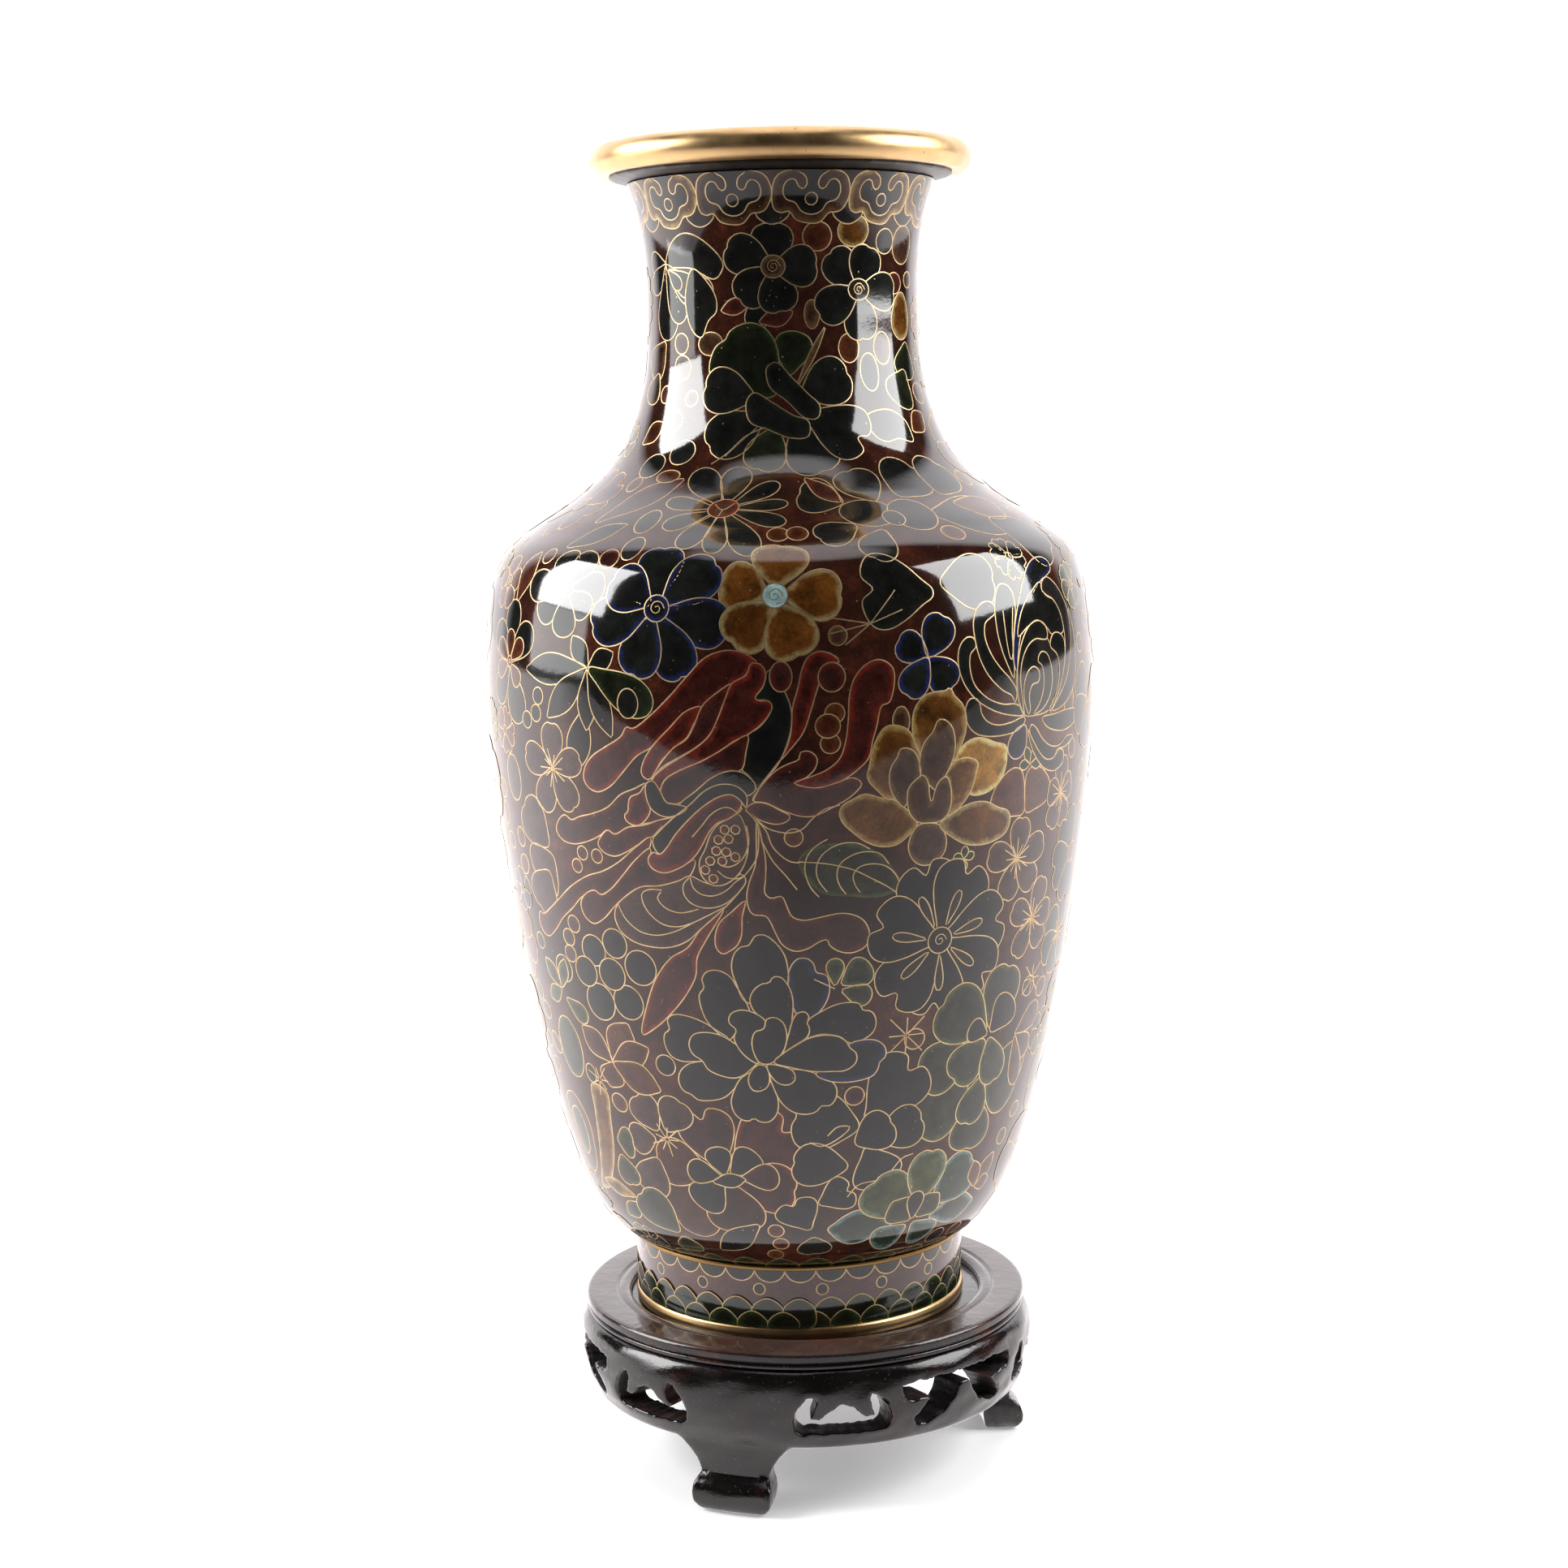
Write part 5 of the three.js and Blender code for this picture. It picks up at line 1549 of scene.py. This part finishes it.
def apron_piece(index):
    """One third of the pierced apron, bent round: front and back faces with rough walls between them."""
    mm = math.radians(1) * APRON_R
    left, right, loops = apron_loops(index, mm)
    flat_v, tris, gap = apron_mesh(left, right, loops)
    at_seam = (flat_v[:, 0] - left < EDGE_ROUND) | (right - flat_v[:, 0] < EDGE_ROUND)
    ends = np.minimum(flat_v[:, 1] - APRON_LOW, APRON_HIGH - flat_v[:, 1])
    gap = np.where(at_seam, np.maximum(ends, 0), gap)
    near = np.clip(1 - gap / EDGE_ROUND, 0, 1)
    drop = EDGE_ROUND * 0.8 * (1 - np.sqrt(np.clip(1 - near ** 2, 0, 1)))
    az = np.radians(FRONT_FOOT + THIRD * index + flat_v[:, 0] / mm)
    z = flat_v[:, 1]
    hand = 0.12 * np.sin(9 * az + 0.5 * z) + 0.08 * np.sin(23 * az - 0.9 * z)  # unevenness from the knife
    r_out = np.interp(z, *zip(*APRON_OUT)) - drop - 0.1 + hand * np.clip(gap, 0, 1)
    r_in = np.interp(z, *zip(*APRON_IN)) + drop * 0.4
    n = len(flat_v)
    sides = [np.stack([STAND_X + r * np.sin(az), -r * np.cos(az), z], -1) for r in (r_out, r_in)]
    verts = np.vstack(sides) * MM
    faces = []
    for t in tris:
        p, q, s = flat_v[t]
        turn_left = (q[0] - p[0]) * (s[1] - p[1]) - (q[1] - p[1]) * (s[0] - p[0]) > 0
        t = t if turn_left else t[::-1]
        faces += [t, [i + n for i in reversed(t)]]
    lacquered = len(faces)
    directed = {}
    for t in faces[::2]:
        for i in range(3):
            directed[(t[i], t[(i + 1) % 3])] = True
    border = [e for e in directed if (e[1], e[0]) not in directed]
    rng = np.random.default_rng(31 + index)
    ladder = {}
    extra = []
    for v in sorted({i for e in border for i in e}):
        ladder[v] = [v]
        for k in range(1, WALL_PARTS):
            t = k / WALL_PARTS
            jog = rng.normal(0, 0.1, 3) * MM
            ladder[v].append(2 * n + len(extra))
            extra.append(verts[v] * (1 - t) + verts[v + n] * t + (jog if JOG_FROM < z[v] < JOG_TO else 0))
        ladder[v].append(v + n)
    for i, j in border:
        for k in range(WALL_PARTS):
            faces.append((ladder[j][k], ladder[i][k], ladder[i][k + 1], ladder[j][k + 1]))
    verts = np.vstack([verts, np.array(extra)])
    obj = make_piece(f"stand_apron_{index + 1}", verts, faces, "stand", M_WOOD, None,
                     (f"apron_segment_{index + 1}",))
    obj.data.materials.append(M_WOOD_CARVED)
    if len(obj.data.polygons) == len(faces):
        marks = [0] * lacquered + [1] * (len(faces) - lacquered)
        obj.data.polygons.foreach_set("material_index", marks)
    obj.data.set_sharp_from_angle(angle=math.radians(48))


for number in range(3):
    apron_piece(number)

# ---------------------------------------------------------------- studio
FLOOR_FRONT, FLOOR_BACK, FLOOR_SIDE = -0.58, 5, 4  # metres
FLOOR_GLOW, FAR_GLOW = 0.25, 1.3  # seen by the camera near the vase and far from it


def floor_material():
    """White paper with painted light: an emitted glow fades it to plain white far from the vase;
    reflections see a painted glow of their own.
    """
    n = Nodes("white_floor")
    n.set(color=srgb(250, 250, 250), rough=0.6)
    n.shader.inputs["Emission Color"].default_value = (1, 1, 1, 1)
    away = n.add("ShaderNodeVectorMath", {0: n.coords}, operation="LENGTH").outputs["Value"]
    n.tree.links.new(n.ramp(away, 0.22, 0.55, FLOOR_GLOW, FAR_GLOW), n.shader.inputs["Emission Strength"])
    # painted light that the glaze mirrors: a glow, darker ahead of the vase, brighter behind it and to the
    # left
    place = n.add("ShaderNodeSeparateXYZ", {0: n.coords})
    depth = n.ramp(place.outputs[1], -0.24, 0.1, 0.92, 2.1)
    depth = n.math("ADD", depth, n.ramp(place.outputs[1], -0.27, -0.37, 0.0, -0.35))
    side = n.ramp(place.outputs[0], 0.0, -0.3, 0.0, 0.45)
    mirrored = n.add("ShaderNodeEmission", {"Color": (1, 0.95, 0.955, 1),
                                            "Strength": n.math("ADD", depth, side)})
    seen = n.add("ShaderNodeLightPath").outputs["Is Camera Ray"]
    both = n.add("ShaderNodeMixShader", {0: seen, 1: mirrored.outputs[0], 2: n.shader.outputs[0]})
    n.tree.links.new(both.outputs[0], n.tree.nodes["Material Output"].inputs["Surface"])
    return n.material


mesh = bpy.data.meshes.new("studio_floor")
mesh.from_pydata([(-FLOOR_SIDE, FLOOR_FRONT, 0), (FLOOR_SIDE, FLOOR_FRONT, 0), (FLOOR_SIDE, FLOOR_BACK, 0),
                  (-FLOOR_SIDE, FLOOR_BACK, 0)], [], [(0, 1, 2, 3)])
mesh.materials.append(floor_material())
floor = bpy.data.objects.new("studio_floor", mesh)
bpy.context.scene.collection.objects.link(floor)


AIM = Vector((0, 0, 0.2))


def softbox(name, az, distance, height, size, power):
    """A rectangular soft light that looks at the vase's middle."""
    light = bpy.data.lights.new(name, "AREA")
    light.shape = "RECTANGLE"
    light.size, light.size_y = size
    light.energy = power
    obj = bpy.data.objects.new(name, light)
    a = math.radians(az)
    obj.location = (distance * math.sin(a), -distance * math.cos(a), height)
    obj.rotation_euler = (AIM - obj.location).to_track_quat("-Z", "Y").to_euler()
    bpy.context.scene.collection.objects.link(obj)


softbox("softbox_left", -91, 1.15, 0.76, (0.86, 0.66), 23)
softbox("softbox_right", 83, 0.62, 0.51, (0.50, 0.46), 6.6)
softbox("softbox_low_left", -94, 1.3, 0.3, (0.7, 0.3), 2.6)

world = bpy.data.worlds.new("studio")
bpy.context.scene.world = world
world.use_nodes = True
world.node_tree.nodes.clear()


def wnode(kind, inputs=None, **settings):
    return add_node(world.node_tree, kind, inputs, **settings)


# white behind the vase and overhead, dark elsewhere; the camera sees plain white all round
BACKDROP_FROM, BACKDROP_TO = 0.61, 0.74
CEILING_FROM, CEILING_TO = 0.92, 0.965
DARK_SIDE, WHITE_SIDE, SEEN_WHITE = 0.02, 2.05, 1.5
direction = wnode("ShaderNodeTexCoord").outputs["Generated"]
split = wnode("ShaderNodeSeparateXYZ", {0: direction})
level = wnode("ShaderNodeVectorMath", {0: direction, 1: (1, 1, 0)}, operation="MULTIPLY")
level = wnode("ShaderNodeVectorMath", {0: level.outputs[0]}, operation="LENGTH").outputs["Value"]
ahead = wnode("ShaderNodeMath", {0: split.outputs[1], 1: level}, operation="DIVIDE").outputs[0]
behind = wnode("ShaderNodeMapRange", {"Value": ahead, "From Min": BACKDROP_FROM, "From Max": BACKDROP_TO})
above = wnode("ShaderNodeMapRange", {"Value": split.outputs[2], "From Min": CEILING_FROM,
                                     "From Max": CEILING_TO})
white = wnode("ShaderNodeMath", {0: behind.outputs[0], 1: above.outputs[0]}, operation="MAXIMUM").outputs[0]
glow = wnode("ShaderNodeMapRange", {"Value": white, "To Min": DARK_SIDE, "To Max": WHITE_SIDE}).outputs[0]
seen = wnode("ShaderNodeLightPath").outputs["Is Camera Ray"]
lit = wnode("ShaderNodeBackground", {"Color": (1, 0.965, 0.99, 1), "Strength": glow})
shown = wnode("ShaderNodeBackground", {"Color": (1, 1, 1, 1), "Strength": SEEN_WHITE})
both = wnode("ShaderNodeMixShader", {0: seen, 1: lit.outputs[0], 2: shown.outputs[0]})
wnode("ShaderNodeOutputWorld", {"Surface": both.outputs[0]})

bpy.context.scene.view_settings.view_transform = "Standard"

CAMERA_AT = (-0.00159, -0.58984, 0.2312)
CAMERA_PITCH, CAMERA_ROLL = 82.2, -1.03
camera = bpy.data.objects.new("camera", bpy.data.cameras.new("camera"))
camera.data.lens = 61.65
camera.data.sensor_width = 36
camera.data.clip_start, camera.data.clip_end = 0.01, 20
camera.matrix_world = (Matrix.Translation(CAMERA_AT)
                       @ Matrix.Rotation(math.radians(CAMERA_PITCH), 4, "X")
                       @ Matrix.Rotation(math.radians(CAMERA_ROLL), 4, "Z"))
bpy.context.scene.collection.objects.link(camera)
bpy.context.scene.camera = camera

bpy.context.view_layer.update()
